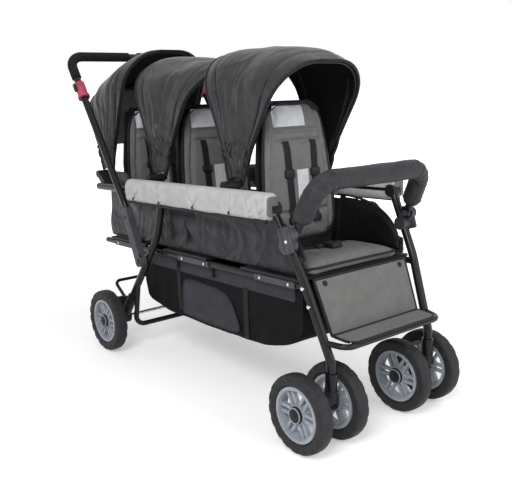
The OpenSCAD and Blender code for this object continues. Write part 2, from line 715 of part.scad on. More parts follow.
module back_board(x) {
  color("#2a2a2d") back_frame(x) difference() {
    union() {
      translate([-knuckle_r, 0, 0]) rotate([90, 0, 90]) linear_extrude(back_board_t) polygon([
        [-(back_half_w - 24), 4], [back_half_w - 24, 4], [back_half_w, 60], [back_half_w - 4, 250],
        [back_top_half_w, back_len - 20], [back_top_half_w - 30, back_len],
        [-(back_top_half_w - 30), back_len], [-back_top_half_w, back_len - 20],
        [-(back_half_w - 4), 250], [-back_half_w, 60]
      ]);
      for (s = [-1, 1]) y_rod(0, 0, s * 60, s * (back_half_w - 24), knuckle_r);
    }
    y_rod(0, 0, -back_half_w, back_half_w, hinge_r + run_gap);
  }
}

back_pad_z = 36;
module back_pad(x) {
  color("#6b6b6a") back_frame(x) translate([back_board_t - knuckle_r + soft_gap, 0, back_pad_z])
    rotate([0, -90, 0]) mirror([0, 0, 1])
    sewn_pad(back_len - back_pad_z, back_half_w - 4, back_top_half_w - 8, back_pad_t * 0.5, back_pad_t,
      46, -14, [-0.62, -0.2, 0.2, 0.62], 0.3);
}

// Harness: two shoulder straps with their slide adjusters and the buckle tongue between them
strap_y = 52;
strap_w = 26;
strap_t = 2.4;
module harness(x) {
  face = back_board_t - knuckle_r + 2 * soft_gap + back_pad_t;
  color("#141416") back_frame(x) for (s = [-1, 1]) {
    translate([face, s * strap_y - strap_w / 2, 96]) cube([strap_t, strap_w, 232]);
    translate([face + strap_t, s * strap_y - strap_w / 2 - 3, 170]) cube([5, strap_w + 6, 22]);
  }
}

// Handle
module handle_tube() { color("#17171a") bent_tube(handle_path(), handle_bends, tube_r); }

grip_low = 96;
module handle_grips() {
  p = handle_path();
  d = unit(p[1] - p[2]);
  module grip_path(s, r) {
    bent_tube([
      [p[2].x + d.x * grip_low, s * handle_y, p[2].z + d.z * grip_low],
      [p[2].x, s * handle_y, p[2].z], [p[2].x, s * grip_gap, p[2].z]
    ], [handle_bends[1]], r);
  }
  color("#1d1d1f") for (s = [-1, 1]) difference() {
    grip_path(s, grip_d / 2);
    grip_path(s, tube_r);
  }
}

module fold_links() {
  color("#4a4b51") for (s = [-1, 1]) difference() {
    link_plate(fold_pivot, link_top, s * link_y0, s * (link_y0 + link_t), link_w);
    y_rod(fold_pivot.x, fold_pivot.z, s * (link_y0 - 1), s * (link_y0 + link_t + 1), fold_pin_r + run_gap);
    handle_tube();
  }
}

// Sliding lock collars on the handle's side tubes
collar_at = on_line(handle_knee, [-handle_x, handle_y, handle_z], collar_z);
collar_dir = unit([-handle_x, handle_y, handle_z] - handle_knee);
module release_collar(s) {
  a = [collar_at.x, s * handle_y, collar_at.z];
  d = [collar_dir.x, 0, collar_dir.z];
  color("#a8485a") difference() {
    union() {
      rod(a, a + d * collar_len, tube_r + collar_t);
      rod(a, a + d * collar_flange, tube_r + 1.5 * collar_t);
    }
    rod(a - d, a + d * (collar_len + 1), tube_r + run_gap);
  }
}

// Bumper bar
function bumper_path() = let (y = bumper_eye_y) [
  [bumper_pivot.x, -y, bumper_pivot.z], [bumper_x, -y + 16, bumper_z],
  [bumper_x, y - 16, bumper_z], [bumper_pivot.x, y, bumper_pivot.z]
];
bumper_bends = [58, 58];
module bumper_tube() {
  color("#2b2b2e") difference() {
    union() {
      bent_tube(bumper_path(), bumper_bends, bumper_tube_r);
      for (s = [-1, 1])
        y_rod(bumper_pivot.x, bumper_pivot.z, s * (bumper_eye_y - bumper_eye_t),
          s * (bumper_eye_y + bumper_eye_t), bumper_eye_r);
    }
    for (s = [-1, 1])
      y_rod(bumper_pivot.x, bumper_pivot.z, s * (bumper_eye_y - 16), s * (bumper_eye_y + 16),
        bumper_pin_r + run_gap);
    for (s = [-1, 1]) translate([bumper_pivot.x, s * (bumper_eye_y + bumper_eye_t), bumper_pivot.z])
      rotate([-90 * s, 0, 0]) cylinder(h = 9, r = 20);
    for (s = [-1, 1]) translate([bumper_pivot.x, s * (bumper_eye_y - bumper_eye_t), bumper_pivot.z])
      rotate([90 * s, 0, 0]) cylinder(h = 9, r = 20);
  }
}

module bumper_sleeve() {
  p = bumper_path();
  start = 34;
  d0 = unit(p[1] - p[0]);
  d3 = unit(p[2] - p[3]);
  ends = [p[0] + d0 * start, p[1], p[2], p[3] + d3 * start];
  color("#1c1c1f") difference() {
    bent_tube(ends, bumper_bends, bumper_d / 2);
    bent_tube([p[0] + d0 * (start - 5), p[1], p[2], p[3] + d3 * (start - 5)], bumper_bends, bumper_tube_r);
  }
}

// Brake bar across the back of the rear wheels
module brake_bar() {
  tip = [brake_pivot.x - brake_reach, 0, brake_pivot.z + brake_rise];
  y = brake_y;
  color("#17171a") difference() {
    union() {
      bent_tube([[brake_pivot.x, -y, brake_pivot.z], [tip.x, -y, tip.z], [tip.x, y, tip.z],
        [brake_pivot.x, y, brake_pivot.z]], [24, 24], brake_rod_r);
      for (s = [-1, 1])
        y_rod(brake_pivot.x, brake_pivot.z, s * (y - brake_eye_t), s * (y + brake_eye_t), brake_eye_r);
    }
    for (s = [-1, 1])
      y_rod(brake_pivot.x, brake_pivot.z, s * (y - brake_eye_t - 2), s * (y + brake_eye_t + 2),
        brake_pin_r + run_gap);
  }
}

// Casters: swivel stem, arm and axle of a twin wheel
fork_half = twin_offset - hub_half - hub_reach - 0.8;
module caster_fork(s) {
  y = s * caster_y;
  color("#202024") {
    translate([caster_x, y, socket_z - 30]) cylinder(h = 29.6, r = tube_r + 6);
    translate([caster_x, y, socket_z - 2]) cylinder(h = socket_len - 5, r = stem_r);
    y_rod(front_axle_x, wheel_r, y - fork_half, y + fork_half, 25);
    link_plate([front_axle_x, 0, wheel_r], [caster_x - 4, 0, socket_z - 26], y - 19, y + 19, 36);
    y_rod(front_axle_x, wheel_r, y - twin_offset - hub_half + axle_inset,
      y + twin_offset + hub_half - axle_inset, axle_r);
  }
}

// Tyre: a rounded section with a slightly crowned tread, seated on the rim
module tyre(x, y) {
  h = wheel_r - rim_r;
  shoulder = 13;
  color("#2f2f31") translate([x, y, wheel_r]) rotate([90, 0, 0]) rotate_extrude($fn = 72) {
    translate([rim_r, -tyre_w / 2 + 4]) square([h - shoulder, tyre_w - 8]);
    translate([rim_r + 6, -tyre_w / 2]) square([h - shoulder - 6, tyre_w]);
    translate([rim_r, -tyre_w / 2 + shoulder]) square([h, tyre_w - 2 * shoulder]);
    for (k = [-1, 1]) translate([wheel_r - shoulder, k * (tyre_w / 2 - shoulder)]) circle(shoulder);
  }
}

// Rim: barrel, hub with the axle bore, paired spokes and a closed cap on the outer face.
// face is the side, +1 or -1 along Y, that carries the cap.
cap_r = 22;
cap_t = 5;
module rim(x, y, face) {
  barrel_t = 9;
  hub_r = 28;
  boss_r = 19;
  spoke_w = 8;
  spoke_gap = 9;
  spoke_t = 13;
  web_half = 13;
  cap_z = hub_half - cap_t;
  color("#87919b") translate([x, y, wheel_r]) rotate([-90 * face, 0, 0]) {
    difference() {
      union() {
        rotate_extrude($fn = 72) {
          translate([rim_r - barrel_t, -tyre_w / 2 + 5]) square([barrel_t, tyre_w - 10]);
          translate([rim_r - barrel_t - 3, -web_half]) square([5, 2 * web_half]);
        }
        translate([0, 0, -hub_half - hub_reach]) cylinder(h = hub_half + hub_reach + cap_z + 1, r = boss_r);
        translate([0, 0, -web_half]) cylinder(h = 2 * web_half, r = hub_r);
        for (i = [0 : spoke_count - 1], k = [-1, 1]) rotate(i * 360 / spoke_count)
          translate([hub_r - 7, k * spoke_gap - spoke_w / 2, 3 - spoke_t / 2])
            cube([rim_r - barrel_t - hub_r + 6, spoke_w, spoke_t]);
      }
      cylinder(h = 3 * tyre_w, r = axle_r + run_gap, center = true);
    }
    translate([0, 0, cap_z]) cylinder(h = cap_t, r = cap_r);
  }
}

// Draw each node on request
in_frame() front_legs();
in_frame() rear_legs();
in_frame() side_rails();
in_frame() seat_rails();
in_frame() rail_caps();
in_frame() footrest_loop();
in_frame() foot_mat();
in_frame() calf_panel();
in_frame() rear_stretcher();
in_frame() rear_axle();
in_frame() axle_brackets();
in_frame() canopy_clips();
in_frame() canopy_rear_bows();
in_frame() side_covers();
in_frame() side_panels();
in_frame() basket();
in_frame() seat_boards();
in_frame() seat_pad(front_seat_x);  // seat_pad_front
in_frame() seat_pad(middle_seat_x);  // seat_pad_middle
in_frame() seat_pad(rear_seat_x);  // seat_pad_rear
in_frame() seat_strips();
in_frame() frame_rivets();
in_frame() bumper_brackets();
in_frame() back_board(front_seat_x);  // back_board_front
in_frame() back_board(middle_seat_x);  // back_board_middle
in_frame() back_board(rear_seat_x);  // back_board_rear
in_frame() back_pad(front_seat_x);  // back_pad_front
in_frame() back_pad(middle_seat_x);  // back_pad_middle
in_frame() back_pad(rear_seat_x);  // back_pad_rear
in_frame() harness(front_seat_x);  // harness_front
in_frame() harness(middle_seat_x);  // harness_middle
in_frame() harness(rear_seat_x);  // harness_rear
in_frame() canopy_front_bow(front_seat_x);  // canopy_bow_front
in_frame() canopy_front_bow(middle_seat_x);  // canopy_bow_middle
in_frame() canopy_front_bow(rear_seat_x);  // canopy_bow_rear
in_frame() canopy(front_seat_x);  // canopy_front
in_frame() canopy(middle_seat_x);  // canopy_middle
in_frame() canopy(rear_seat_x);  // canopy_rear
in_frame() handle_tube();
in_frame() handle_grips();
in_frame() fold_links();
in_frame() release_collar(-1);  // release_collar_right
in_frame() release_collar(1);  // release_collar_left
in_frame() bumper_tube();
in_frame() bumper_sleeve();
in_frame() brake_bar();
in_frame() caster_fork(-1);  // caster_fork_right
in_frame() caster_fork(1);  // caster_fork_left
in_frame() tyre(front_axle_x, -caster_y - twin_offset);  // tyre_front_right_outer
in_frame() tyre(front_axle_x, -caster_y + twin_offset);  // tyre_front_right_inner
in_frame() tyre(front_axle_x, caster_y - twin_offset);  // tyre_front_left_inner
in_frame() tyre(front_axle_x, caster_y + twin_offset);  // tyre_front_left_outer
in_frame() tyre(rear_axle_x, -rear_wheel_y);  // tyre_rear_right
in_frame() tyre(rear_axle_x, rear_wheel_y);  // tyre_rear_left
in_frame() rim(front_axle_x, -caster_y - twin_offset, -1);  // rim_front_right_outer
in_frame() rim(front_axle_x, -caster_y + twin_offset, 1);  // rim_front_right_inner
in_frame() rim(front_axle_x, caster_y - twin_offset, -1);  // rim_front_left_inner
in_frame() rim(front_axle_x, caster_y + twin_offset, 1);  // rim_front_left_outer
in_frame() rim(rear_axle_x, -rear_wheel_y, -1);  // rim_rear_right
in_frame() rim(rear_axle_x, rear_wheel_y, 1);  // rim_rear_left
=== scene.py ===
"""Three-seat tandem stroller: cloth, foam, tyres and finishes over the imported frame.

Places are written in metres from the middle of the wheelbase, as in the part's source; SHIFT moves
them to the part's own origin when a mesh is made.
"""
import json
import math

import bmesh
import bpy
import numpy as np
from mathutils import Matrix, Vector
from mathutils.bvhtree import BVHTree


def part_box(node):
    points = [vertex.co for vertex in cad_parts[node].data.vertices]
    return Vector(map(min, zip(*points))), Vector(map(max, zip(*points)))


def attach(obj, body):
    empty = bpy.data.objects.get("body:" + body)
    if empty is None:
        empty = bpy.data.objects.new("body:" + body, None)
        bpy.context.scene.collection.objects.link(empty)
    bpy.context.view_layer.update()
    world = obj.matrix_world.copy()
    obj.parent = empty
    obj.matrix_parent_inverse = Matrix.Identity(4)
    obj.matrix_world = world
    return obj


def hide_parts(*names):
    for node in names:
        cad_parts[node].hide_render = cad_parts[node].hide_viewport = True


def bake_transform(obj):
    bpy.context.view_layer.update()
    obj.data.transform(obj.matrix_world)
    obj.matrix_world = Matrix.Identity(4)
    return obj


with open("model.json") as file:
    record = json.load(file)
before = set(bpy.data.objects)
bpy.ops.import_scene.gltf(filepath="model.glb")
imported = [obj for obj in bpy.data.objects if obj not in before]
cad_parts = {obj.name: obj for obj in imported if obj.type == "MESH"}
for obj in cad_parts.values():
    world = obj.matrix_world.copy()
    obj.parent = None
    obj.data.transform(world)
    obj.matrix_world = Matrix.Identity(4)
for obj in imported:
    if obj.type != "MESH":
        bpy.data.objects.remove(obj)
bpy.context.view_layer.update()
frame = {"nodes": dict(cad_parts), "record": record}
scene = bpy.context.scene
SEATS = ("front", "middle", "rear")
HANDS = ((-1, "right"), (1, "left"))
HALF_BASE = 0.492
axle_low, axle_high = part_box("rear_axle")
SHIFT = (axle_low[0] + axle_high[0]) / 2 + HALF_BASE
ORIGIN = np.array([SHIFT, 0, 0])
JOINT = {j["name"]: j for j in frame["record"]["behaviour"]["joints"]}
ALONG, ACROSS, UP = (1.0, 0.0, 0.0), (0.0, 1.0, 0.0), (0.0, 0.0, 1.0)
RAIL_RISE, RAIL_RUN = 63, 985


def pivot(joint):
    """Place of a joint, measured from the wheelbase middle."""
    x, y, z = JOINT[joint]["pos_m"]
    return np.array([x - SHIFT, y, z])


def corners(node):
    """Lowest and highest corner of a frame node, measured from the wheelbase middle."""
    return [np.array(corner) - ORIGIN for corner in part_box(node)]


# Camera at the photograph's place: 51 degrees round from the right side to the front, looking 14 degrees
# down.
camera = bpy.data.objects.new("camera", bpy.data.cameras.new("camera"))
scene.collection.objects.link(camera)
scene.camera = camera
camera.location = (1.777 + SHIFT, -1.463, 0.999)
camera.rotation_euler = (math.radians(90 - 13.814), 0, math.radians(50.847))
camera.data.sensor_width = 36
camera.data.lens = 50.83
camera.data.clip_start, camera.data.clip_end = 0.05, 60


# Materials

def srgb(code):
    """Linear colour of an sRGB hex value."""
    c = np.array([int(code[i:i + 2], 16) for i in (0, 2, 4)]) / 255
    return (*np.where(c <= 0.04045, c / 12.92, ((c + 0.055) / 1.055) ** 2.4), 1.0)


def add(tree, kind, links=None, to=None, **settings):
    """One node with its settings; inputs take values or links from sockets, the output goes to `to`."""
    n = tree.nodes.new(kind)
    for key, value in settings.items():
        setattr(n, key, value)
    for key, value in (links or {}).items():
        if isinstance(value, bpy.types.NodeSocket):
            tree.links.new(value, n.inputs[key])
        else:
            n.inputs[key].default_value = value
    if to is not None:
        tree.links.new(n.outputs[0], to)
    return n


def finish(name, **sockets):
    """Material with one Principled shader; returns the material, its tree, shader and Object coordinates."""
    m = bpy.data.materials.new(name)
    m.use_nodes = True
    t = m.node_tree
    shader = t.nodes["Principled BSDF"]
    for key, value in sockets.items():
        shader.inputs[key.replace("_", " ")].default_value = value
    return m, t, shader, add(t, "ShaderNodeTexCoord").outputs["Object"]


def mottle(t, shader, place, dark, light, size_mm, detail=4.0):
    """Colour that drifts between two tones over patches of size_mm."""
    noise = add(t, "ShaderNodeTexNoise", {"Vector": place, "Scale": 1000 / size_mm, "Detail": detail})
    ramp = add(t, "ShaderNodeValToRGB", {"Fac": noise.outputs["Fac"]})
    ramp.color_ramp.elements[0].position, ramp.color_ramp.elements[1].position = 0.3, 0.7
    ramp.color_ramp.elements[0].color, ramp.color_ramp.elements[1].color = srgb(dark), srgb(light)
    t.links.new(ramp.outputs["Color"], shader.inputs["Base Color"])


def moulded(name, dark, light, rough, grain_mm=0.9):
    """Moulded nylon or ABS: spark-eroded grain that breaks up its highlight."""
    m, t, s, place = finish(name, Roughness=rough, IOR=1.46, Specular_IOR_Level=0.22)
    mottle(t, s, place, dark, light, 30)
    grain = add(t, "ShaderNodeTexNoise", {"Vector": place, "Scale": 1000 / grain_mm, "Detail": 2.0})
    add(t, "ShaderNodeBump", {"Height": grain.outputs["Fac"], "Distance": 0.06 / 1000, "Strength": 0.5},
        to=s.inputs["Normal"])
    return m


def enamel(name, dark, light):
    """Stoved enamel on steel tube: glossy, with a faint orange peel about 3 mm across."""
    m, t, s, place = finish(name, Roughness=0.24, IOR=1.5, Specular_IOR_Level=0.22)
    mottle(t, s, place, dark, light, 60)
    peel = add(t, "ShaderNodeTexNoise", {"Vector": place, "Scale": 330.0, "Detail": 1.0})
    add(t, "ShaderNodeBump", {"Height": peel.outputs["Fac"], "Distance": 0.05 / 1000, "Strength": 0.35},
        to=s.inputs["Normal"])
    return m


def woven(name, dark, light, thread_mm, rough=0.82, sheen=0.03, relief_mm=0.25, patch_mm=26, gloss=0.15,
          crumple_mm=0):
    """Woven polyester: threads drawn coarser than real so that they show, slub mottling and a soft sheen;
    crumple_mm is the size of the small wrinkles of thin cloth."""
    m, t, s, place = finish(name, Roughness=rough, Specular_IOR_Level=gloss, Sheen_Weight=sheen,
                            Sheen_Roughness=0.45)
    mottle(t, s, place, dark, light, patch_mm, 6.0)
    threads = None
    for axis in "XYZ":
        wave = add(t, "ShaderNodeTexWave", {"Vector": place, "Scale": 1000 / thread_mm / 20.0 * math.pi,
                                            "Distortion": 0.6, "Detail": 1.0, "Detail Scale": 4.0},
                   wave_type="BANDS", bands_direction=axis)
        if threads is None:
            threads = wave.outputs["Fac"]
        else:
            threads = add(t, "ShaderNodeMath", {0: threads, 1: wave.outputs["Fac"]},
                          operation="ADD").outputs[0]
    weave = add(t, "ShaderNodeBump", {"Height": threads, "Distance": relief_mm / 1000, "Strength": 0.35},
                to=s.inputs["Normal"])
    if crumple_mm:
        wrinkle = add(t, "ShaderNodeTexNoise", {"Vector": place, "Scale": 1000 / crumple_mm, "Detail": 1.0,
                                                "Distortion": 0.7})
        bump = add(t, "ShaderNodeBump", {"Height": wrinkle.outputs["Fac"], "Distance": crumple_mm / 6000,
                                         "Strength": 0.8})
        t.links.new(bump.outputs["Normal"], weave.inputs["Normal"])
    return m


def net(name, dark, light, hole_mm):
    """Knitted net: a raised honeycomb of yarn round holes painted darker, as painted shade for the dark
    inside of the bag seen through them.
    """
    m, t, s, place = finish(name, Roughness=0.75, Specular_IOR_Level=0.1)
    cells = add(t, "ShaderNodeTexVoronoi", {"Vector": place, "Scale": 1000 / hole_mm, "Randomness": 0.25},
                feature="DISTANCE_TO_EDGE")
    # Painted shade: the middles of the cells, the holes, take the darker tone.
    ramp = add(t, "ShaderNodeValToRGB", {"Fac": cells.outputs["Distance"]})
    ramp.color_ramp.elements[0].position, ramp.color_ramp.elements[1].position = 0.08, 0.3
    ramp.color_ramp.elements[0].color, ramp.color_ramp.elements[1].color = srgb(light), srgb(dark)
    t.links.new(ramp.outputs["Color"], s.inputs["Base Color"])
    flat = add(t, "ShaderNodeMath", {0: 1.0, 1: cells.outputs["Distance"]}, operation="SUBTRACT")
    add(t, "ShaderNodeBump", {"Height": flat.outputs[0], "Distance": 0.8 / 1000, "Strength": 0.6},
        to=s.inputs["Normal"])
    return m


def metal(name, code, rough):
    """Bright zinc plate: fine scratches spread its highlight."""
    m, t, s, place = finish(name, Metallic=1.0)
    s.inputs["Base Color"].default_value = srgb(code)
    wear = add(t, "ShaderNodeTexNoise", {"Vector": place, "Scale": 900.0, "Detail": 3.0})
    span = add(t, "ShaderNodeMapRange", {"Value": wear.outputs["Fac"], "To Min": rough - 0.08,
                                         "To Max": rough + 0.1})
    t.links.new(span.outputs[0], s.inputs["Roughness"])
    return m


def foamed(name, dark, light, cell_mm, rough):
    """Closed-cell foam: matt skin with pores cell_mm across, drawn a little large."""
    m, t, s, place = finish(name, Roughness=rough, IOR=1.45, Specular_IOR_Level=0.15)
    mottle(t, s, place, dark, light, 18, 5.0)
    pores = add(t, "ShaderNodeTexVoronoi", {"Vector": place, "Scale": 1000 / cell_mm})
    add(t, "ShaderNodeBump", {"Height": pores.outputs["Distance"], "Distance": 0.3 / 1000, "Strength": 0.45},
        to=s.inputs["Normal"])
    return m


ENAMEL = enamel("black_stoved_enamel", "111113", "1b1b1e")
ZINC = metal("zinc_plated_steel", "c6c8ca", 0.28)
NYLON = moulded("black_moulded_nylon", "161618", "222226", 0.48)
GREY_NYLON = moulded("dark_grey_moulded_nylon", "3f3f44", "4c4c52", 0.5)
BRACKET = moulded("slate_grey_moulded_nylon", "3a3b41", "494b52", 0.42)
RED_NYLON = moulded("pink_red_moulded_nylon", "9a3c4e", "b25468", 0.38)
ORANGE_NYLON = moulded("orange_moulded_nylon", "d8653a", "e67a4c", 0.4)
RIM_NYLON = moulded("grey_blue_moulded_nylon", "8e959d", "a0a6ae", 0.4)
GRIP_FOAM = foamed("black_grip_foam", "161617", "222224", 1.6, 0.85)
TYRE_FOAM = foamed("dark_grey_foam_rubber", "2a2a2c", "353537", 1.2, 0.55)
CANOPY = woven("charcoal_canopy_polyester", "2b2b2d", "373739", 2.4, 0.36, gloss=0.2, crumple_mm=70)
LINING = woven("black_canopy_lining", "060607", "0c0c0e", 2.4, 0.85, 0.0)
BINDING = woven("blue_black_binding_tape", "17191d", "22262c", 2.0, 0.6, 0.03, 0.3, 12)
SEAT = woven("mid_grey_seat_polyester", "656564", "6d6d6c", 2.6, 0.8)
COVER = woven("light_grey_cover_polyester", "acacac", "bcbcbc", 2.2, 0.78)
SIDE = woven("dark_charcoal_side_polyester", "29282d", "353439", 2.4, 0.4, gloss=0.16, crumple_mm=60)
BUMPER_CLOTH = woven("charcoal_bumper_polyester", "2b2a2e", "353438", 2.0, 0.5, 0.03, 0.2)
BAND_CLOTH = woven("dark_band_polyester", "2c2c32", "383840", 2.4, 0.65)
BLACK_CLOTH = woven("black_padded_polyester", "0e0e10", "18181b", 2.4, 0.5)
WEB = woven("black_nylon_webbing", "101012", "1c1c1e", 1.8, 0.6, 0.03, 0.4, 8)
LABEL = woven("pale_grey_care_cloth", "b9bbc0", "c9cbd0", 2.0, 0.8)
NET = net("black_knitted_net", "050506", "121215", 5.0)


# Mesh building

def smoothstep(a, b, x):
    """Cubic step from 0 at a to 1 at b."""
    t = np.clip((x - a) / (b - a), 0, 1)
    return t * t * (3 - 2 * t)


def unit(v):
    """Rows scaled to length 1."""
    return v / np.maximum(np.linalg.norm(v, axis=-1, keepdims=True), 1e-12)


def piece(name, patches, body, material, slot, replaces=(), solidify=0.0, subdivide=0, lined=False,
          recalc=True):
    """One object from grids. A patch is (points nu x nv x 3, wrap_u, wrap_v, material index); the index may
    be one per face."""
    points, faces, index, base = [], [], [], 0
    for grid, wrap_u, wrap_v, which in patches:
        nu, nv = grid.shape[:2]
        ids = np.arange(nu * nv).reshape(nu, nv) + base
        loop = np.vstack([ids, ids[:1]]) if wrap_u else ids
        loop = np.hstack([loop, loop[:, :1]]) if wrap_v else loop
        quads = np.stack([loop[:-1, :-1], loop[1:, :-1], loop[1:, 1:], loop[:-1, 1:]], -1).reshape(-1, 4)
        made = quads.tolist()
        if wrap_v and not wrap_u:
            made += [ids[0].tolist(), ids[-1][::-1].tolist()]
        points.append(grid.reshape(-1, 3))
        faces += made
        index += np.broadcast_to(np.ravel(which), len(made)).tolist()
        base += nu * nv
    co = np.vstack(points) + ORIGIN
    mesh = bpy.data.meshes.new(name)
    mesh.from_pydata(co.tolist(), [], faces)
    mesh.polygons.foreach_set("material_index", index)
    mesh.polygons.foreach_set("use_smooth", [True] * len(faces))
    for m in material if isinstance(material, (list, tuple)) else [material]:
        mesh.materials.append(m)
    mesh.update()
    if recalc:
        outward(mesh)
    return place(name, mesh, body, slot, replaces, solidify, subdivide, lined)


def open_sheet(grid, which=0):
    """Patch of an open grid."""
    return grid, False, False, which


def closed_ring(grid):
    """Patch of a grid that closes on itself both ways."""
    return grid, True, True, 0


def field(u0, u1, nu, v0, v1, nv):
    """Two parameters on a grid: the first from u0 to u1 down the rows, the second from v0 to v1 across."""
    return np.meshgrid(np.linspace(u0, u1, nu), np.linspace(v0, v1, nv), indexing="ij")


def outward(mesh):
    """Turns the faces of closed shells outwards."""
    b = bmesh.new()
    b.from_mesh(mesh)
    bmesh.ops.recalc_face_normals(b, faces=b.faces)
    b.to_mesh(mesh)
    b.free()


def place(name, mesh, body, slot, replaces=(), solidify=0.0, subdivide=0, lined=False):
    """Object for a mesh in the part's frame, riding on a body with its modifiers. A lined sheet shows its
    next material inside."""
    obj = bpy.data.objects.new(name, mesh)
    scene.collection.objects.link(obj)
    if solidify:
        s = obj.modifiers.new("thickness", "SOLIDIFY")
        s.thickness, s.offset, s.material_offset = solidify, 0.0, int(lined)
    if subdivide:
        d = obj.modifiers.new("smooth", "SUBSURF")
        d.levels = d.render_levels = subdivide
    if body:
        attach(obj, body)
    if replaces:
        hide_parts(*replaces)
    return obj


def superellipse(w, power):
    """Cosine and sine of w with their sizes raised to power: below 1 the circle squares up."""
    c, s = np.cos(w), np.sin(w)
    return np.sign(c) * np.abs(c) ** power, np.sign(s) * np.abs(s) ** power


def sweep(path, half_a, half_b, across, sides=12, power=1.0):
    """Tube along a path: a superellipse section of half widths a along `across` and b square to it."""
    path = np.asarray(path, float)
    tangent = unit(np.gradient(path, axis=0))
    a_dir = np.broadcast_to(np.asarray(across, float), path.shape)
    a_dir = unit(a_dir - tangent * np.sum(a_dir * tangent, 1, keepdims=True))
    b_dir = np.cross(tangent, a_dir)
    c, s = superellipse(np.linspace(0, 2 * np.pi, sides, endpoint=False), power)
    wide, high = (np.broadcast_to(np.asarray(h, float), len(path))[:, None, None] for h in (half_a, half_b))
    across_a, across_b = a_dir[:, None] * c[None, :, None], b_dir[:, None] * s[None, :, None]
    return path[:, None] + across_a * wide + across_b * high, False, True, 0


def lathe(centre, axis, profile, turns=32, which=0):
    """Surface of revolution: profile rows are (radius, distance along axis)."""
    axis = unit(np.asarray(axis, float))
    side = unit(np.cross(axis, [0.0, 0.0, 1.0] if abs(axis[2]) < 0.9 else [1.0, 0.0, 0.0]))
    other = np.cross(axis, side)
    w = np.linspace(0, 2 * np.pi, turns, endpoint=False)
    ring = side * np.cos(w)[:, None] + other * np.sin(w)[:, None]
    profile = np.asarray(profile, float)
    grid = np.asarray(centre) + profile[:, :1, None] * ring[None] + profile[:, 1, None, None] * axis
    return grid, False, True, which


def block(centre, along, up, half):
    """Rounded block: a superellipse drawn in at both ends, along its own axis."""
    t = np.array([-1, -0.97, -0.85, 0.85, 0.97, 1.0])
    k = np.array([0.7, 0.88, 1.0, 1.0, 0.88, 0.7])
    path = np.asarray(centre) + unit(np.asarray(along, float)) * (t * half[0])[:, None]
    return sweep(path, half[1] * k, half[2] * k, up, 28, 0.35)


def curve(points, count):
    """Smooth path through points: a Catmull-Rom spline sampled evenly in its parameter."""
    p = np.asarray(points, float)
    p = np.vstack([2 * p[0] - p[1], p, 2 * p[-1] - p[-2]])
    t = np.linspace(0, len(p) - 3 - 1e-9, count)
    i = t.astype(int)
    f = (t - i)[:, None]
    a, b, c, d = p[i], p[i + 1], p[i + 2], p[i + 3]
    bend = (2 * a - 5 * b + 4 * c - d) * f ** 2 + (3 * b - a - 3 * c + d) * f ** 3
    return 0.5 * (2 * b + (c - a) * f + bend)


def filleted(points, radii, step=0.008):
    """Straight runs joined by circular bends, as the bent tubes of the frame."""
    p = np.asarray(points, float)
    out = [p[:1]]
    for k in range(1, len(p) - 1):
        d0, d1 = unit(p[k] - p[k - 1]), unit(p[k + 1] - p[k])
        turn = math.acos(float(np.clip(d0 @ d1, -1, 1)))
        back = radii[k - 1] * math.tan(turn / 2)
        centre = p[k] + unit(d1 - d0) * radii[k - 1] / math.cos(turn / 2)
        u = unit(p[k] - d0 * back - centre)
        w = np.linspace(0, turn, max(int(radii[k - 1] * turn / step), 6))[:, None]
        out.append(centre + radii[k - 1] * (u * np.cos(w) + d0 * np.sin(w)))
    out.append(p[-1:])
    rough = np.vstack(out)
    length = np.concatenate([[0], np.cumsum(np.linalg.norm(np.diff(rough, axis=0), axis=1))])
    at = np.linspace(0, length[-1], max(int(length[-1] / step), 4))
    return np.stack([np.interp(at, length, rough[:, k]) for k in range(3)], 1)


def ripple(u, v, seed, waves, low, high):
    """Sum of a few plane waves with seeded directions; about -1 to 1."""
    rng = np.random.default_rng(seed)
    total = np.zeros(np.broadcast(u, v).shape)
    for _ in range(waves):
        k, a, ph = rng.uniform(low, high), rng.uniform(0, 2 * np.pi), rng.uniform(0, 2 * np.pi)
        total += np.sin(2 * np.pi * k * (u * math.cos(a) + v * math.sin(a)) + ph)
    return total / math.sqrt(waves)


def normals(grid):
    """Unit normals of a point grid."""
    return unit(np.cross(np.gradient(grid, axis=0), np.gradient(grid, axis=1)))


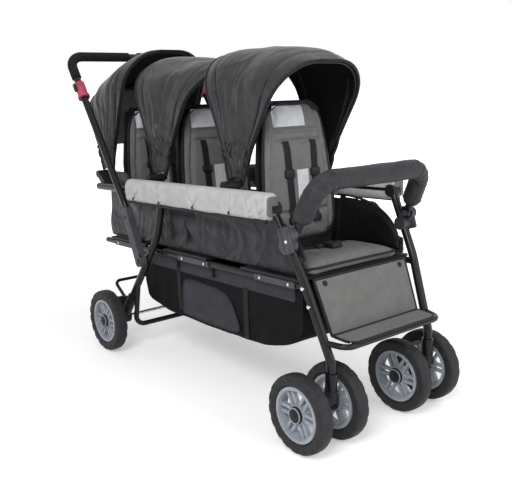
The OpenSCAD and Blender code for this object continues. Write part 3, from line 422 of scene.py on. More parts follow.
def inflated(grid_top, grid_bottom, name, voxel, cap, pressure=4.0, frames=20):
    """Padded form: the closed shell between two grids, remeshed and swollen as cloth, each point held to cap.

    Returns points and faces, in the grids' own frame.
    """
    nu, nv = grid_top.shape[:2]
    ids = np.arange(nu * nv).reshape(nu, nv)
    top = np.stack([ids[:-1, :-1], ids[1:, :-1], ids[1:, 1:], ids[:-1, 1:]], -1).reshape(-1, 4)
    low = top[:, ::-1] + nu * nv
    rim = np.concatenate([ids[0], ids[1:, -1], ids[-1, -2::-1], ids[-2:0:-1, 0]])
    nxt = np.roll(rim, -1)
    wall = np.stack([rim, nxt, nxt + nu * nv, rim + nu * nv], -1)
    mesh = bpy.data.meshes.new(name)
    mesh.from_pydata(np.vstack([grid_top.reshape(-1, 3), grid_bottom.reshape(-1, 3)]).tolist(), [],
                     np.vstack([top, low, wall]).tolist())
    outward(mesh)
    obj = bpy.data.objects.new(name, mesh)
    scene.collection.objects.link(obj)
    r = obj.modifiers.new("voxels", "REMESH")
    r.mode, r.voxel_size = "VOXEL", voxel
    bpy.context.view_layer.update()
    fine = bpy.data.meshes.new_from_object(obj.evaluated_get(bpy.context.evaluated_depsgraph_get()))
    obj.modifiers.clear()
    obj.data = fine
    rest = np.empty(len(fine.vertices) * 3)
    fine.vertices.foreach_get("co", rest)
    rest = rest.reshape(-1, 3)
    c = obj.modifiers.new("cloth", "CLOTH")
    c.settings.use_pressure = True
    c.settings.uniform_pressure_force = pressure
    c.settings.effector_weights.gravity = 0
    c.settings.quality = 4
    c.point_cache.frame_end = frames
    for f in range(1, frames + 1):
        scene.frame_set(f)
    swollen = bpy.data.meshes.new_from_object(obj.evaluated_get(bpy.context.evaluated_depsgraph_get()))
    now = np.empty(len(rest) * 3)
    swollen.vertices.foreach_get("co", now)
    move = now.reshape(-1, 3) - rest
    far = np.linalg.norm(move, axis=1, keepdims=True)
    rest = rest + move * np.minimum(1, cap / np.maximum(far, 1e-9))
    obj.modifiers.clear()
    scene.frame_set(1)
    bpy.data.meshes.remove(swollen)
    quads = np.array([p.vertices[:] for p in fine.polygons if len(p.vertices) == 4])
    bpy.data.objects.remove(obj)
    return rest, quads


def stuffed(name, form, turn, body, material, slot, replaces=(), subdivide=1):
    """Places a padded form: turn maps its points into the stroller."""
    rest, quads = form
    mesh = bpy.data.meshes.new(name)
    mesh.from_pydata((turn(rest) + ORIGIN).tolist(), [], quads.tolist())
    mesh.polygons.foreach_set("use_smooth", [True] * len(quads))
    mesh.materials.append(material)
    outward(mesh)
    obj = place(name, mesh, body, slot, replaces, 0, subdivide)
    return obj


# Canopies

BOW_R, EYE_GAP = 0.004, 0.010
REAR_BOW_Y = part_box("canopy_rear_bows")[1][1] - BOW_R
FRONT_BOW_Y = REAR_BOW_Y - EYE_GAP
BOW_CORNER, CLOTH_OFF, TIP_R, TIP_FLARE = 0.79 * FRONT_BOW_Y, 0.0095, 0.022, 0.02
CASINGS = (0.13, 0.87)
# Angle of the rear edge and the front edge in degrees, then the bow length under each.
FAN = {"front": (117, 61, 0.408, 0.395), "middle": (117, 61, 0.408, 0.395), "rear": (122, 70, 0.350, 0.462)}


def canopy_point(which, s, v, off):
    """Point of a canopy about its pivot: s runs -1 to 1 over the bow from tip to tip, v from the rear bow
    to the front bow. Up the straight arm, round the corner, across the top; the bows fan with v, and both
    edges stand TIP_FLARE off their bows at the tips, so that the cloth ends in a blunt tongue."""
    rear, front, rear_len, front_len = FAN[which]
    half = REAR_BOW_Y + (FRONT_BOW_Y - REAR_BOW_Y) * v + off
    reach = (rear_len + (front_len - rear_len) * v) * (1 - 0.055 * np.sin(np.pi * v) ** 2) + off
    corner = BOW_CORNER + off
    arm, bend = reach - corner - TIP_R, corner * np.pi / 2
    t = (1 - np.abs(s)) * (arm + bend + half - corner)
    phi = np.clip((t - arm) / corner, 0, np.pi / 2)
    y = half - corner + corner * np.cos(phi) - np.clip(t - arm - bend, 0, None)
    r = TIP_R + np.clip(t, None, arm) + corner * np.sin(phi)
    a = np.radians(rear + (front - rear) * v)
    flare = TIP_FLARE * (2 * v - 1) * np.exp(-((r - TIP_R) / 0.07) ** 2)
    return np.stack([r * np.cos(a) + flare * np.sin(a), np.sign(s) * y, r * np.sin(a) - flare * np.cos(a)],
                    -1)


def slack(s, v, seed):
    """Lift of canopy cloth off its fan: broad sags on top, sharp folds that run up from the pivots and drift
    across the fan, casings sunk inside both edges, and an elastic that gathers the cloth above each tip."""
    rng = np.random.default_rng(seed)
    down = np.abs(s)
    inside = np.sin(np.pi * v) ** 0.6
    side = smoothstep(0.3, 0.6, down)
    lift = 0.006 * ripple(s * 3.2, v * 1.4, seed, 5, 0.5, 1.3) * inside
    for sign in (-1, 1):
        for start, lean, end, high in rng.uniform((0.16, -0.5, 0.1, -0.011), (0.84, 0.5, 0.5, 0.011), (9, 4)):
            aside = np.abs(v - start - lean * (0.9 - down)) / (0.03 + 0.06 * (0.95 - down))
            run = smoothstep(end, end + 0.3, down) * (1 - smoothstep(0.86, 0.95, down)) * (s * sign > 0)
            lift += high * (np.exp(-aside) - 0.45 * np.exp(-(aside / 2.5) ** 2)) * run * inside
    knot = smoothstep(0.72, 0.83, down) * (1 - smoothstep(0.88, 0.95, down))
    gather = np.abs(np.sin(np.pi * (4 * v + 0.7 * ripple(s * 6, v * 2, seed + 9, 3, 0.6, 1.2)))) ** 1.5 - 0.4
    lift += 0.007 * gather * knot - 0.006 * knot * inside
    for casing in CASINGS:
        lift -= (0.002 + 0.006 * side) * np.exp(-((v - casing) / 0.02) ** 2)
        lift += 0.0008 * np.sin(2 * np.pi * 46 * s + seed) * np.exp(-((v - casing) / 0.035) ** 2)
    return lift


def canopy(which, seed):
    """Canopy cloth, dark inside, with tape round its edges and painted shade down both casings: strips of the
    black tape colour where the folds beside the casings sink.
    """
    s, v = field(-1, 1, 241, 1, 0, 101)
    grid = canopy_point(which, s, v, CLOTH_OFF)
    hub = pivot(which + "_canopy")
    grid = grid + normals(grid) * slack(s, v, seed)[..., None] + hub
    mid_s, mid_v = np.abs(s[1:, 1:] + s[:-1, 1:]) / 2, (v[1:, 1:] + v[1:, :-1]) / 2
    # Painted shade: the faces next to each casing, down the sides, take the black tape colour for the shadow
    # in the sunk fold there.
    crease = np.min([np.abs(mid_v - casing) for casing in CASINGS], axis=0)
    dark = (crease < 0.02 * smoothstep(0.25, 0.6, mid_s)) & (mid_s < 0.86)
    cloth = piece("canopy_cloth_" + which, [open_sheet(grid, np.where(dark, 2, 0))], "chassis",
                  [CANOPY, LINING, BINDING], "canopy_cloth", ["canopy_" + which], solidify=0.0016, lined=True,
                  recalc=False)
    edges = [sweep(grid[:, k], 0.0052, 0.0028, np.array([0.0, 1.0, 0.0]) + 0.2, 10) for k in (0, -1)]
    tape = piece("canopy_binding_" + which, edges, "chassis", BINDING, "canopy_cloth")
    for obj in (cloth, tape):
        obj.parent = None
        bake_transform(obj)


for number, seat in enumerate(SEATS):
    canopy(seat, 11 + 7 * number)

# Flap that hangs from the rear canopy's fixed bow, behind the rear seat.
hub = pivot("rear_canopy")
u, q = field(0, 1, 40, -1, 1, 60)
edge = canopy_point("rear", 0.34 * q, np.zeros_like(q), CLOTH_OFF) + hub
flap = edge + np.stack([-0.003 - 0.003 * ripple(q * 2, u, 47, 4, 0.4, 1.1) * u,
                        -0.04 * q * u ** 2, -(edge[..., 2] - 0.7) * u], -1)
flap_obj = piece("rear_flap", [open_sheet(flap)], "chassis", SEAT, "seat_cloth", solidify=0.0014,
                 recalc=False)


# Seats

SLOPE = math.atan(RAIL_RISE / RAIL_RUN)
LEAN = math.radians(8)
SEAT_LEN, SEAT_HALF = 0.204, 0.19
BACK_LOW, BACK_LEN = 0.036, 0.419
BACK_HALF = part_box("back_board_front")[1][1]
BOLSTER = 0.036
STRAP_SEAM = 0.3


def pad_grids(length, w0, w1, thick, corner, draw_in, inset):
    """Top and bottom grids of a pad lying along +x: half width tapers from w0 to w1 and draws in between;
    the crown falls off as the fourth power towards the edges. inset leaves room for it to swell."""
    u, q = field(0, 1, 40, -1, 1, 48)
    half = w0 + (w1 - w0) * u - draw_in * np.sin(np.pi * u) - corner * np.abs(2 * u - 1) ** 12 - inset
    dome = (1 - np.abs(2 * u - 1) ** 4) * (1 - np.abs(q) ** 4)
    x = inset + u * (length - 2 * inset)
    top = np.stack([x, q * half, thick * (0.5 + 0.5 * dome) - inset], -1)
    return top, np.stack([x, q * half, np.full_like(x, 0.001)], -1)


def grooved(form, lines, depth, width, level):
    """Sewn lines: points of the padded face above level sink by depth along each line(x, y) = 0, and the
    padding beside a line puckers."""
    rest, quads = form
    rest = rest.copy()
    near = np.min([np.abs(line(rest[:, 0], rest[:, 1])) for line in lines], axis=0)
    up = smoothstep(0.6 * level, level, rest[:, 2])
    pucker = np.sin(rest[:, 0] * 260) * np.sin(rest[:, 1] * 90 + rest[:, 0] * 140)
    rise = 0.0009 * pucker * np.exp(-((near - 0.014) / 0.011) ** 2) - depth * np.exp(-(near / width) ** 2)
    rest[:, 2] += up * rise
    return rest, quads


def back_seam(x):
    """Half width of the back's inner panel: the outline less the bolster."""
    t = x / BACK_LEN
    return BACK_HALF - 0.004 - (0.21 * BACK_HALF + 0.004) * t + 0.014 * np.sin(np.pi * t) - BOLSTER


def across_panel(at):
    """Seam across the back's inner panel at height `at`."""
    return lambda x, y: np.where(np.abs(y) < back_seam(x), x - at, 1.0)


seat_form = inflated(*pad_grids(SEAT_LEN, SEAT_HALF, SEAT_HALF - 0.004, 0.04, 0.014, 0.006, 0.004),
                     "seat_form", 0.005, 0.006)
seat_form = grooved(seat_form, [lambda x, y: np.abs(y) - 0.5 * SEAT_HALF, lambda x, y: x - 0.03], 0.006,
                    0.006, 0.02)
back_grids = pad_grids(BACK_LEN, BACK_HALF - 0.004, 0.79 * BACK_HALF - 0.008, 0.032, 0.046, -0.014, 0.004)
back_form = inflated(*back_grids, "back_form", 0.005, 0.006)
back_form = grooved(back_form, [lambda x, y: np.abs(y) - back_seam(x), across_panel(STRAP_SEAM),
                                across_panel(0.332), across_panel(0.09)], 0.009, 0.006, 0.014)


def on_seat(seat):
    """Turn of seat pads: along the sloping boards, which lie 11 mm under the recline hinge."""
    base = pivot(seat + "_recline") - [0, 0, 0.011]

    def turn(p):
        x, y, z = p[..., 0] + 0.034, p[..., 1], p[..., 2] + 0.0004
        c, s = math.cos(SLOPE), math.sin(SLOPE)
        return np.stack([base[0] + x * c - z * s, y, base[2] + x * s + z * c], -1)
    return turn


def on_back(seat):
    """Turn of back pads: up the leaning back from the recline hinge, crown facing forward."""
    hub = pivot(seat + "_recline")

    def turn(p):
        up, y, out = p[..., 0] + BACK_LOW, p[..., 1], p[..., 2] - 0.0016
        c, s = math.cos(LEAN), math.sin(LEAN)
        return np.stack([hub[0] + out * c - up * s, y, hub[2] + out * s + up * c], -1)
    return turn


def heights(form):
    """Function that gives the height of a padded form's face above local places."""
    tree = BVHTree.FromPolygons(form[0].tolist(), form[1].tolist())

    def at(xy):
        flat = np.reshape(xy, (-1, 2)).tolist()
        hits = [tree.ray_cast(Vector((x, y, 0.2)), Vector((0, 0, -1)))[0] for x, y in flat]
        return np.array([hit.z if hit else 0.02 for hit in hits]).reshape(np.shape(xy)[:-1])
    return at


over_seat, over_back = heights(seat_form), heights(back_form)


def outline_loop(form, level, count, clear):
    """Closed path round a form's edge at height level: the farthest point in each direction."""
    p = form[0]
    mid = (p.min(0) + p.max(0)) / 2
    size = (p.max(0) - p.min(0)) / 2
    w = np.linspace(-np.pi, np.pi, count, endpoint=False)
    q = (p - mid) / size
    angle = np.arctan2(q[:, 1], q[:, 0])
    reach = np.hypot(q[:, 0], q[:, 1]) * (np.abs(p[:, 2] - level) < 0.01)
    sector = np.clip(((angle + np.pi) / (2 * np.pi) * count).astype(int), 0, count - 1)
    best = np.zeros(count)
    np.maximum.at(best, sector, reach)
    best = np.convolve(np.concatenate([best[-2:], best, best[:2]]), np.ones(5) / 5, mode="valid")
    return np.column_stack([mid[0] + (size[0] * best + clear) * np.cos(w),
                            mid[1] + (size[1] * best + clear) * np.sin(w), np.full(count, level)])


def strap(over, turn, path, half_w, across):
    """Flat webbing laid along a local path on a padded form; its height is smoothed over the stitches."""
    path = np.asarray(path, float)
    high = np.convolve(np.pad(over(path), 4, mode="edge"), np.ones(9) / 9, mode="valid")
    grid = sweep(np.column_stack([path, high + 0.0022]), half_w, 0.0011, across, 12, 0.35)[0]
    return turn(grid), False, True, 0


def plate(over, turn, centre, half_x, half_y, thick):
    """Rounded slab standing on a padded form: a superellipse swept through four heights."""
    w = np.linspace(0, 2 * np.pi, 32, endpoint=False)
    c, s = superellipse(w, 0.35)
    foot = float(over(np.array([centre]))[0])
    rows = [np.stack([centre[0] + half_x * k * c, centre[1] + half_y * k * s, np.full(32, foot + z)], 1)
            for k, z in ((0.96, -0.004), (1.0, 0.3 * thick), (0.97, 0.85 * thick), (0.85, thick))]
    return turn(np.array(rows)), False, True, 0


def patch(over, turn, centre, half_x, half_y):
    """Blank cloth label that follows the padded face under it."""
    dx, dy = field(-half_x, half_x, 30, -half_y, half_y, 30)
    xy = np.stack([centre[0] + dx, centre[1] + dy], -1)
    return open_sheet(turn(np.dstack([xy, over(xy) + 0.0012])))


for seat in SEATS:
    up, flat = on_back(seat), on_seat(seat)
    back = seat + "_back"
    stuffed("back_pad_cloth_" + seat, back_form, up, back, SEAT, "seat_cloth", ["back_pad_" + seat])
    stuffed("seat_pad_cloth_" + seat, seat_form, flat, "chassis", SEAT, "seat_cloth", ["seat_pad_" + seat])
    for name, form, turn, body, level in (("back_binding_", back_form, up, back, 0.012),
                                          ("seat_binding_", seat_form, flat, "chassis", 0.018)):
        loop = outline_loop(form, level, 120, 0.0005)
        ring = sweep(np.vstack([loop, loop[:1]]), 0.0035, 0.006, UP, 8)[0][:-1]
        piece(name + seat, [closed_ring(turn(ring))], body, BINDING, "seat_cloth")
    straps, fittings = [], []
    h = np.linspace(STRAP_SEAM, 0.07, 60)
    for side in (-1, 1):
        path = np.column_stack([h, side * (0.046 + 0.008 * (h - 0.07) / (STRAP_SEAM - 0.07))])
        straps.append(strap(over_back, up, path, 0.0125, ACROSS))
        fittings.append(plate(over_back, up, (0.205, side * 0.051), 0.013, 0.018, 0.008))
        fittings.append(plate(over_back, up, (0.066, side * 0.046), 0.012, 0.017, 0.009))
    piece("shoulder_straps_" + seat, straps, back, WEB, "webbing", ["harness_" + seat])
    piece("strap_adjusters_" + seat, fittings, back, NYLON, "black_plastic")
    run = np.linspace(0, 1, 30)
    lap = [strap(over_seat, flat, np.column_stack([0.015 + 0.11 * run, 0 * run]), 0.0145, ACROSS)]
    lap += [strap(over_seat, flat, np.column_stack([0.02 + 0.055 * run, side * (0.15 - 0.11 * run)]), 0.0125,
                  ALONG) for side in (-1, 1)]
    piece("waist_straps_" + seat, lap, "chassis", WEB, "webbing")
    piece("crotch_buckle_" + seat, [plate(over_seat, flat, (0.1, 0), 0.026, 0.022, 0.014),
                                    plate(over_seat, flat, (0.08, 0.032), 0.013, 0.014, 0.009),
                                    plate(over_seat, flat, (0.08, -0.032), 0.013, 0.014, 0.009)],
          "chassis", NYLON, "black_plastic")
    piece("blank_patches_" + seat, [patch(over_back, up, (0.374, -0.03), 0.031, 0.058),
                                    patch(over_back, up, (0.165, 0.002), 0.05, 0.023)],
          back, LABEL, "seat_cloth", solidify=0.0006, recalc=False)


def rear_cover(seat):
    """Cloth over the rear face of a back board: its outline, a few millimetres of slack and soft folds."""
    u, q = field(0, 1, 48, -1, 1, 40)
    half = BACK_HALF * np.interp(u, [0, 0.1, 0.55, 0.93, 1.0], [0.84, 1.0, 0.97, 0.8, 0.6])
    edge = np.maximum(np.abs(q) ** 6, np.abs(2 * u - 1) ** 10)
    out = -0.0098 - 0.007 * (1 - edge) - 0.002 * ripple(u * 2, q * 1.5, 5, 4, 0.6, 1.4) * (1 - edge)
    grid = on_back(seat)(np.stack([0.006 + u * 0.452 - BACK_LOW, q * half, out + 0.0016], -1))
    obj = piece("back_rear_cloth_" + seat, [open_sheet(grid)], seat + "_back", SIDE, "side_cloth",
                solidify=0.0012, recalc=False)


for seat in SEATS:
    rear_cover(seat)


# Side covers and side panels

def rail_z(x):
    """Height of the side rail's centre line."""
    return 0.577 + (x + 0.640) * RAIL_RISE / RAIL_RUN


def low_z(x):
    """Height of the lower rail's centre line."""
    return 0.441 + (x - 0.452) * RAIL_RISE / RAIL_RUN


COVER_X = (-0.396, 0.357)
COVER_Y, COVER_HALF_W, COVER_HALF_H = 0.253, 0.0245, 0.037
PANEL_Y, WING_Y = 0.2005, 0.1955
COVER_SNAPS = (-0.33, -0.17, 0.02, 0.2)
SNAP_ARC = -0.026
RING_X = -0.113
SNAP = [(0.0001, 0.0052), (0.0035, 0.005), (0.0062, 0.0034), (0.0074, 0.001), (0.0074, -0.004),
        (0.0001, -0.004)]
TOGGLE = [(0.001, -0.013), (0.0055, -0.012), (0.0068, -0.006), (0.0062, 0.006), (0.0068, 0.012),
          (0.001, 0.013)]


def creases(x, arc, spots, seed, spread=0.9, reach=0.06):
    """Sharp folds that start at each spot and fan upwards: depth falls off across a fold and along it."""
    rng = np.random.default_rng(seed)
    total = np.zeros(np.broadcast(x, arc).shape)
    for spot in spots:
        for lean in rng.uniform(-spread, spread, 3):
            dx, dz = x - spot[0], arc - spot[1]
            along = dx * math.sin(lean) + dz * math.cos(lean)
            aside = dx * math.cos(lean) - dz * math.sin(lean)
            wide = 0.004 + 0.06 * np.clip(along, 0, None)
            fold = np.exp(-(aside / wide) ** 2) - 0.7 * np.exp(-((aside - 1.6 * wide) / wide) ** 2)
            total += fold * smoothstep(-0.004, 0.008, along) * (1 - smoothstep(0.25 * reach, reach, along))
    return total


def side_cover(side, hand):
    """Padded roll of cloth over the side rail: a rounded section, drawn in at the snaps low on its face."""
    t, w = np.meshgrid(np.linspace(0, 1, 300), np.linspace(0, 2 * np.pi, 72, endpoint=False), indexing="ij")
    x = COVER_X[0] + (COVER_X[1] - COVER_X[0]) * t
    c, s = superellipse(w, 0.62)
    end = 1 - 0.16 * smoothstep(0.988, 1, t) - 0.45 * (1 - smoothstep(0, 0.03, t)) ** 2
    outer = smoothstep(-0.2, 0.3, np.cos(w))
    arc = COVER_HALF_H * s
    spots = [(sx, SNAP_ARC) for sx in (*COVER_SNAPS, 0.28, 0.325)]
    fold = 0.005 * creases(x, arc, spots, 5 + side) + 0.0014 * ripple(t * 9, s, 31 + side, 5, 0.4, 1.2)
    y = COVER_Y + COVER_HALF_W * c * end - fold * outer * end
    z = rail_z(x) + 0.004 + arc * end
    roll = np.stack([x, side * y, z], -1), False, True, 0
    cover = piece("side_cover_cloth_" + hand, [roll], "chassis", COVER, "cover_cloth", ["side_covers"])
    tuck = np.linspace(COVER_X[0] + 0.012, COVER_X[1] - 0.004, 90)
    hem = np.column_stack([tuck, np.full(90, side * (COVER_Y + 0.013)), rail_z(tuck) - 0.0325])
    piece("side_cover_hem_" + hand, [sweep(hem, 0.0035, 0.0075, ACROSS, 10)], "chassis", BINDING,
          "side_cloth")
    # A thin mid-grey block over the roll's front end face, so that the end shows darker than the roll.
    end_cap = np.array([COVER_X[1] + 0.001, side * COVER_Y, rail_z(COVER_X[1]) + 0.006])
    piece("side_cover_tab_" + hand, [block(end_cap, (1.0, 0.0, 0.06), ACROSS, (0.004, 0.018, 0.026))],
          "chassis", SEAT, "cover_cloth")


def side_panel(side, hand):
    """Cloth between the rails, hung in loose folds that gather where straps pull it to the lower rail. It
    dips at the front leg and rises past the side rail beside the rear seat."""
    u, v = field(0, 1, 220, 0, 1, 44)
    x = -0.622 + 1.047 * u
    top = rail_z(x) - 0.036 - 0.1 * smoothstep(0.3, 0.425, x) + 0.09 * (1 - smoothstep(-0.52, -0.4, x))
    bottom = low_z(x) + 0.0195
    z = bottom + (top - bottom) * v
    spots = [(sx, low_z(sx) + 0.006) for sx in (-0.5, -0.42, -0.2, -0.03, 0.06, 0.12, 0.205, 0.3)]
    loose = 0.006 * ripple(u * 9, v * 1.2, 71 + side, 6, 0.4, 1.2)
    loose = loose - 0.009 * creases(x, z, spots, 90 + side, 1.2, 0.15)
    over_wing = 0.004 * smoothstep(0.1, 0.16, x)
    y = PANEL_Y + (np.maximum(loose, -0.003) + 0.005 + over_wing) * np.sin(np.pi * v) ** 0.5
    grid = np.stack([x, side * y, z], -1)
    cloth = piece("side_panel_cloth_" + hand, [open_sheet(grid)], "chassis", SIDE, "side_cloth",
                  ["side_panels"], solidify=0.002, recalc=False)
    w = np.linspace(0, 2 * np.pi, 25)
    oval = np.column_stack([0.011 * np.cos(w), 0 * w, 0.009 * np.sin(w)])
    wire = sweep(np.array([RING_X, side * 0.2125, 0.516]) + oval, 0.0017, 0.0017, ACROSS, 10)[0]
    piece("panel_ring_" + hand, [closed_ring(wire[:-1])], "chassis", NYLON, "black_plastic")
    tails = [sweep(curve([(tx, side * 0.206, 0.53), (tx, side * 0.2115, 0.52),
                          (tx + 0.006, side * 0.2125, 0.47), (tx + 0.001, side * 0.214, 0.455)], 24),
                   0.008, 0.0009, ALONG, 10, 0.4) for tx in (-0.2, RING_X)]
    piece("panel_straps_" + hand, tails, "chassis", WEB, "webbing")


for side, hand in HANDS:
    side_cover(side, hand)
    side_panel(side, hand)


# Black padded wings beside the front seat, sewn to the side panels.

WING_X, WING_LEN, WING_HIGH = 0.165, 0.258, 0.158


def wing_outline(u):
    """Height of a wing's top edge: a quarter of a superellipse that falls to the seat's front corner."""
    return WING_HIGH * (1 - np.clip(u, 0, 1) ** 2.3) ** (1 / 2.3)


u, q = field(0, 1, 40, 0, 1, 36)
lay = np.stack([WING_LEN * u, 0.008 + q * np.maximum(wing_outline(0.985 * u) - 0.008, 0.012)], -1)
dome = (1 - np.abs(2 * u - 1) ** 5) * (1 - np.abs(2 * q - 1) ** 5)
wing_form = inflated(np.dstack([lay, 0.004 + 0.005 * dome]), np.dstack([lay, 0 * u]), "wing_form", 0.0045,
                     0.004)
for side, hand in HANDS:
    def on_panel(p, side=side):
        """A wing stands on the seat board's side edge, its padded face turned to the child."""
        x = WING_X + p[..., 0]
        return np.stack([x, side * (WING_Y - p[..., 2]), low_z(x) + 0.026 + p[..., 1]], -1)
    stuffed("side_wing_" + hand, wing_form, on_panel, "chassis", BLACK_CLOTH, "side_cloth")
    arc = np.linspace(0, 0.985, 60)
    edge = on_panel(np.column_stack([WING_LEN * arc, np.maximum(wing_outline(arc), 0.02),
                                     np.full(60, 0.005)]))
    piece("side_wing_piping_" + hand, [sweep(edge, 0.0036, 0.0036, ACROSS, 10)], "chassis",
          BINDING, "side_cloth")


# Basket

BASKET_HALF, BASKET_TOP, BASKET_FLOOR = 0.2035, 0.4375, 0.186


def basket_grid(nu, nv):
    """Bag hung between the lower rails: u follows its side outline from the rear top edge under the floor
    to the front top edge, v runs across from one top edge to the other. The walls stay upright and the
    floor sags; soft folds grow with depth below the top edge."""
    outline = curve([(-0.394, 0, 0.387), (-0.397, 0, 0.31), (-0.392, 0, 0.245), (-0.358, 0, 0.198),
                     (-0.22, 0, 0.188), (0.0, 0, 0.198), (0.2, 0, 0.212), (0.31, 0, 0.228), (0.4, 0, 0.268),
                     (0.428, 0, 0.31), (0.415, 0, 0.38), (0.402, 0, BASKET_TOP)], nu)
    v = np.linspace(-1, 1, nv)
    x, floor = np.broadcast_to(outline[:, :1], (nu, nv)), np.broadcast_to(outline[:, 2:], (nu, nv))
    wall = np.clip((1 - np.abs(v)) / 0.38, 0, 1) ** 0.8
    y = np.sign(v) * BASKET_HALF * np.clip(np.abs(v) / 0.62, 0, 1) ** 0.9
    top = np.minimum(low_z(x), BASKET_TOP)
    z = top + (floor - top) * wall
    depth = np.clip((top - z) / 0.2, 0, 1)
    folds = ripple(x * 9, v * 1.6, 17, 6, 0.5, 1.4) * depth
    y = np.broadcast_to(y, x.shape) - np.sign(v) * (0.004 * np.abs(folds) + 0.006 * depth ** 2)
    return np.stack([x, y, np.maximum(z + 0.003 * folds * (1 - np.abs(v)), BASKET_FLOOR)], -1)


bag = basket_grid(150, 121)
bag_obj = piece("basket_net", [open_sheet(bag)], "chassis", NET, "basket_mesh", ["basket"],
                solidify=0.0014, recalc=False)
POCKET = [(-0.15, 0.208), (-0.152, 0.262), (-0.146, 0.312), (-0.108, 0.331), (-0.02, 0.334), (0.062, 0.333),
          (0.106, 0.312), (0.143, 0.256), (0.146, 0.228), (0.1, 0.219), (-0.04, 0.21)]
for side, hand in HANDS:
    u, v = field(-0.39, 0.4, 120, 0, 1, 10)
    y = BASKET_HALF + 0.0012 + 0.0008 * np.sin(np.pi * v) * ripple(u * 12, v, 3, 4, 0.5, 1.3)
    band = np.stack([u, side * y, low_z(u) - 0.002 - 0.052 * v], -1)
    obj = piece("basket_band_" + hand, [open_sheet(band)], "chassis", BAND_CLOTH, "basket_mesh",
                solidify=0.0014, recalc=False)
    ring = np.array([(x, side * (BASKET_HALF - 0.0005), z) for x, z in POCKET])
    ring = curve(np.vstack([ring, ring[:1]]), 90)
    mid = ring.mean(0)
    hull = [mid + (ring[:-1] - mid) * [k, 1, k] + [0, side * d, 0]
            for k, d in ((1.0, -0.006), (1.0, 0.0), (0.96, 0.0022), (0.5, 0.0032), (0.02, 0.0032))]
    piece("basket_pocket_" + hand, [(np.array(hull), False, True, 0)], "chassis", BAND_CLOTH, "basket_mesh")
    tape = sweep(ring, 0.0024, 0.0036, ACROSS, 8)[0][:-1]
    piece("basket_pocket_tape_" + hand, [closed_ring(tape)], "chassis", BINDING, "basket_mesh")
    webs = []
    for wx in (-0.172, 0.184):
        drop = np.linspace(0, 1, 20)
        z = low_z(wx) - 0.05 - (low_z(wx) - 0.05 - 0.214) * drop
        y = side * (BASKET_HALF + 0.0014 - 0.006 * drop ** 2)
        webs.append(sweep(np.column_stack([np.full(20, wx), y, z]), 0.011, 0.0009, ALONG, 10, 0.4))
    piece("basket_webbing_" + hand, webs, "chassis", WEB, "webbing")
    toggles = [lathe((tx, side * (BASKET_HALF + 0.0095), low_z(tx) - 0.03), (0.3, 0, -1), TOGGLE, 16)
               for tx in (-0.169, 0.027)]
    piece("basket_toggles_" + hand, toggles, "chassis", NYLON, "black_plastic")


# Calf panel and foot mat

CALF_LOW, CALF_HIGH = np.array([0.5105, 0, 0.3118]), np.array([0.447, 0, 0.4529])
CALF_RUN = CALF_HIGH - CALF_LOW
CALF_OUT = np.array([CALF_RUN[2], 0, -CALF_RUN[0]]) / np.linalg.norm(CALF_RUN)


def calf_grid(out):
    """Calf panel: a straight run from the seat's front edge to the foot mat, a little full in the middle."""
    u, q = field(0, 1, 50, -1, 1, 60)
    full = (1 - np.abs(2 * u - 1) ** 4) * (1 - np.abs(q) ** 6)
    lift = out * (0.0025 + 0.0065 * full + 0.0016 * ripple(u * 2.2, q * 2, 23, 5, 0.5, 1.4) * full)
    p = CALF_LOW + CALF_RUN * u[..., None] + CALF_OUT * lift[..., None]
    return np.stack([p[..., 0], q * (0.174 + 0.01 * u), p[..., 2]], -1)


def bound_slab(name, face, rear, body, material, slot, replaces, half_a, half_b, across):
    """Flat pad between two grids with tape round its edge."""
    rim = [np.concatenate([g[0], g[1:, -1], g[-1, -2::-1], g[-2:0:-1, 0]]) for g in (face, rear)]
    obj = piece(name, [open_sheet(face), open_sheet(rear[:, ::-1])], body, material, slot, replaces,
                recalc=False)
    edge = (rim[0] + rim[1]) / 2
    tape = sweep(np.vstack([edge, edge[:1]]), half_a, half_b, across, 10)[0][:-1]
    piece(name + "_binding", [closed_ring(tape)], body, BINDING, slot)
    return obj


calf = bound_slab("calf_panel_cloth", calf_grid(1.0), calf_grid(0.05), "chassis", SEAT, "seat_cloth",
                  ["calf_panel"], 0.004, 0.0042, (0.86, 0.0, 0.5))
snaps = [lathe(CALF_LOW + CALF_RUN * 0.9 + CALF_OUT * 0.006 + [0, y, 0], CALF_OUT, SNAP, 20)
         for y in (-0.152, 0.152)]
piece("calf_panel_snaps", snaps, "chassis", NYLON, "black_plastic")

MAT_ROUND = 0.03
mat_low, mat_high = corners("foot_mat")
u, q = field(0, 1, 40, -1, 1, 90)
ridge = 0.0006 * np.sin(2 * np.pi * u * 12) * (np.abs(q) < 0.9) * (np.abs(2 * u - 1) < 0.8)
fall = 0.0022 * np.maximum(np.abs(2 * u - 1) ** 8, np.abs(q) ** 24)
past = np.clip((np.abs(q) * mat_high[1] - mat_high[1] + MAT_ROUND) / MAT_ROUND, 0, 1)
front = mat_high[0] - mat_low[0] - MAT_ROUND * (1 - np.sqrt(1 - 0.98 * past ** 2))
deck = np.stack([mat_low[0] + front * u, q * mat_high[1], mat_high[2] - 0.0002 + ridge - fall], -1)
bound_slab("foot_mat_deck", deck, deck * [1, 1, 0] + [0, 0, mat_low[2]], "chassis", SEAT, "side_cloth",
           ["foot_mat"], 0.004, (mat_high[2] - mat_low[2]) / 2 + 0.0012, (1.0, 0.6, 0.0))


# Bumper bar

SLEEVE_R, BUMPER_BEND = 0.0276, 0.058


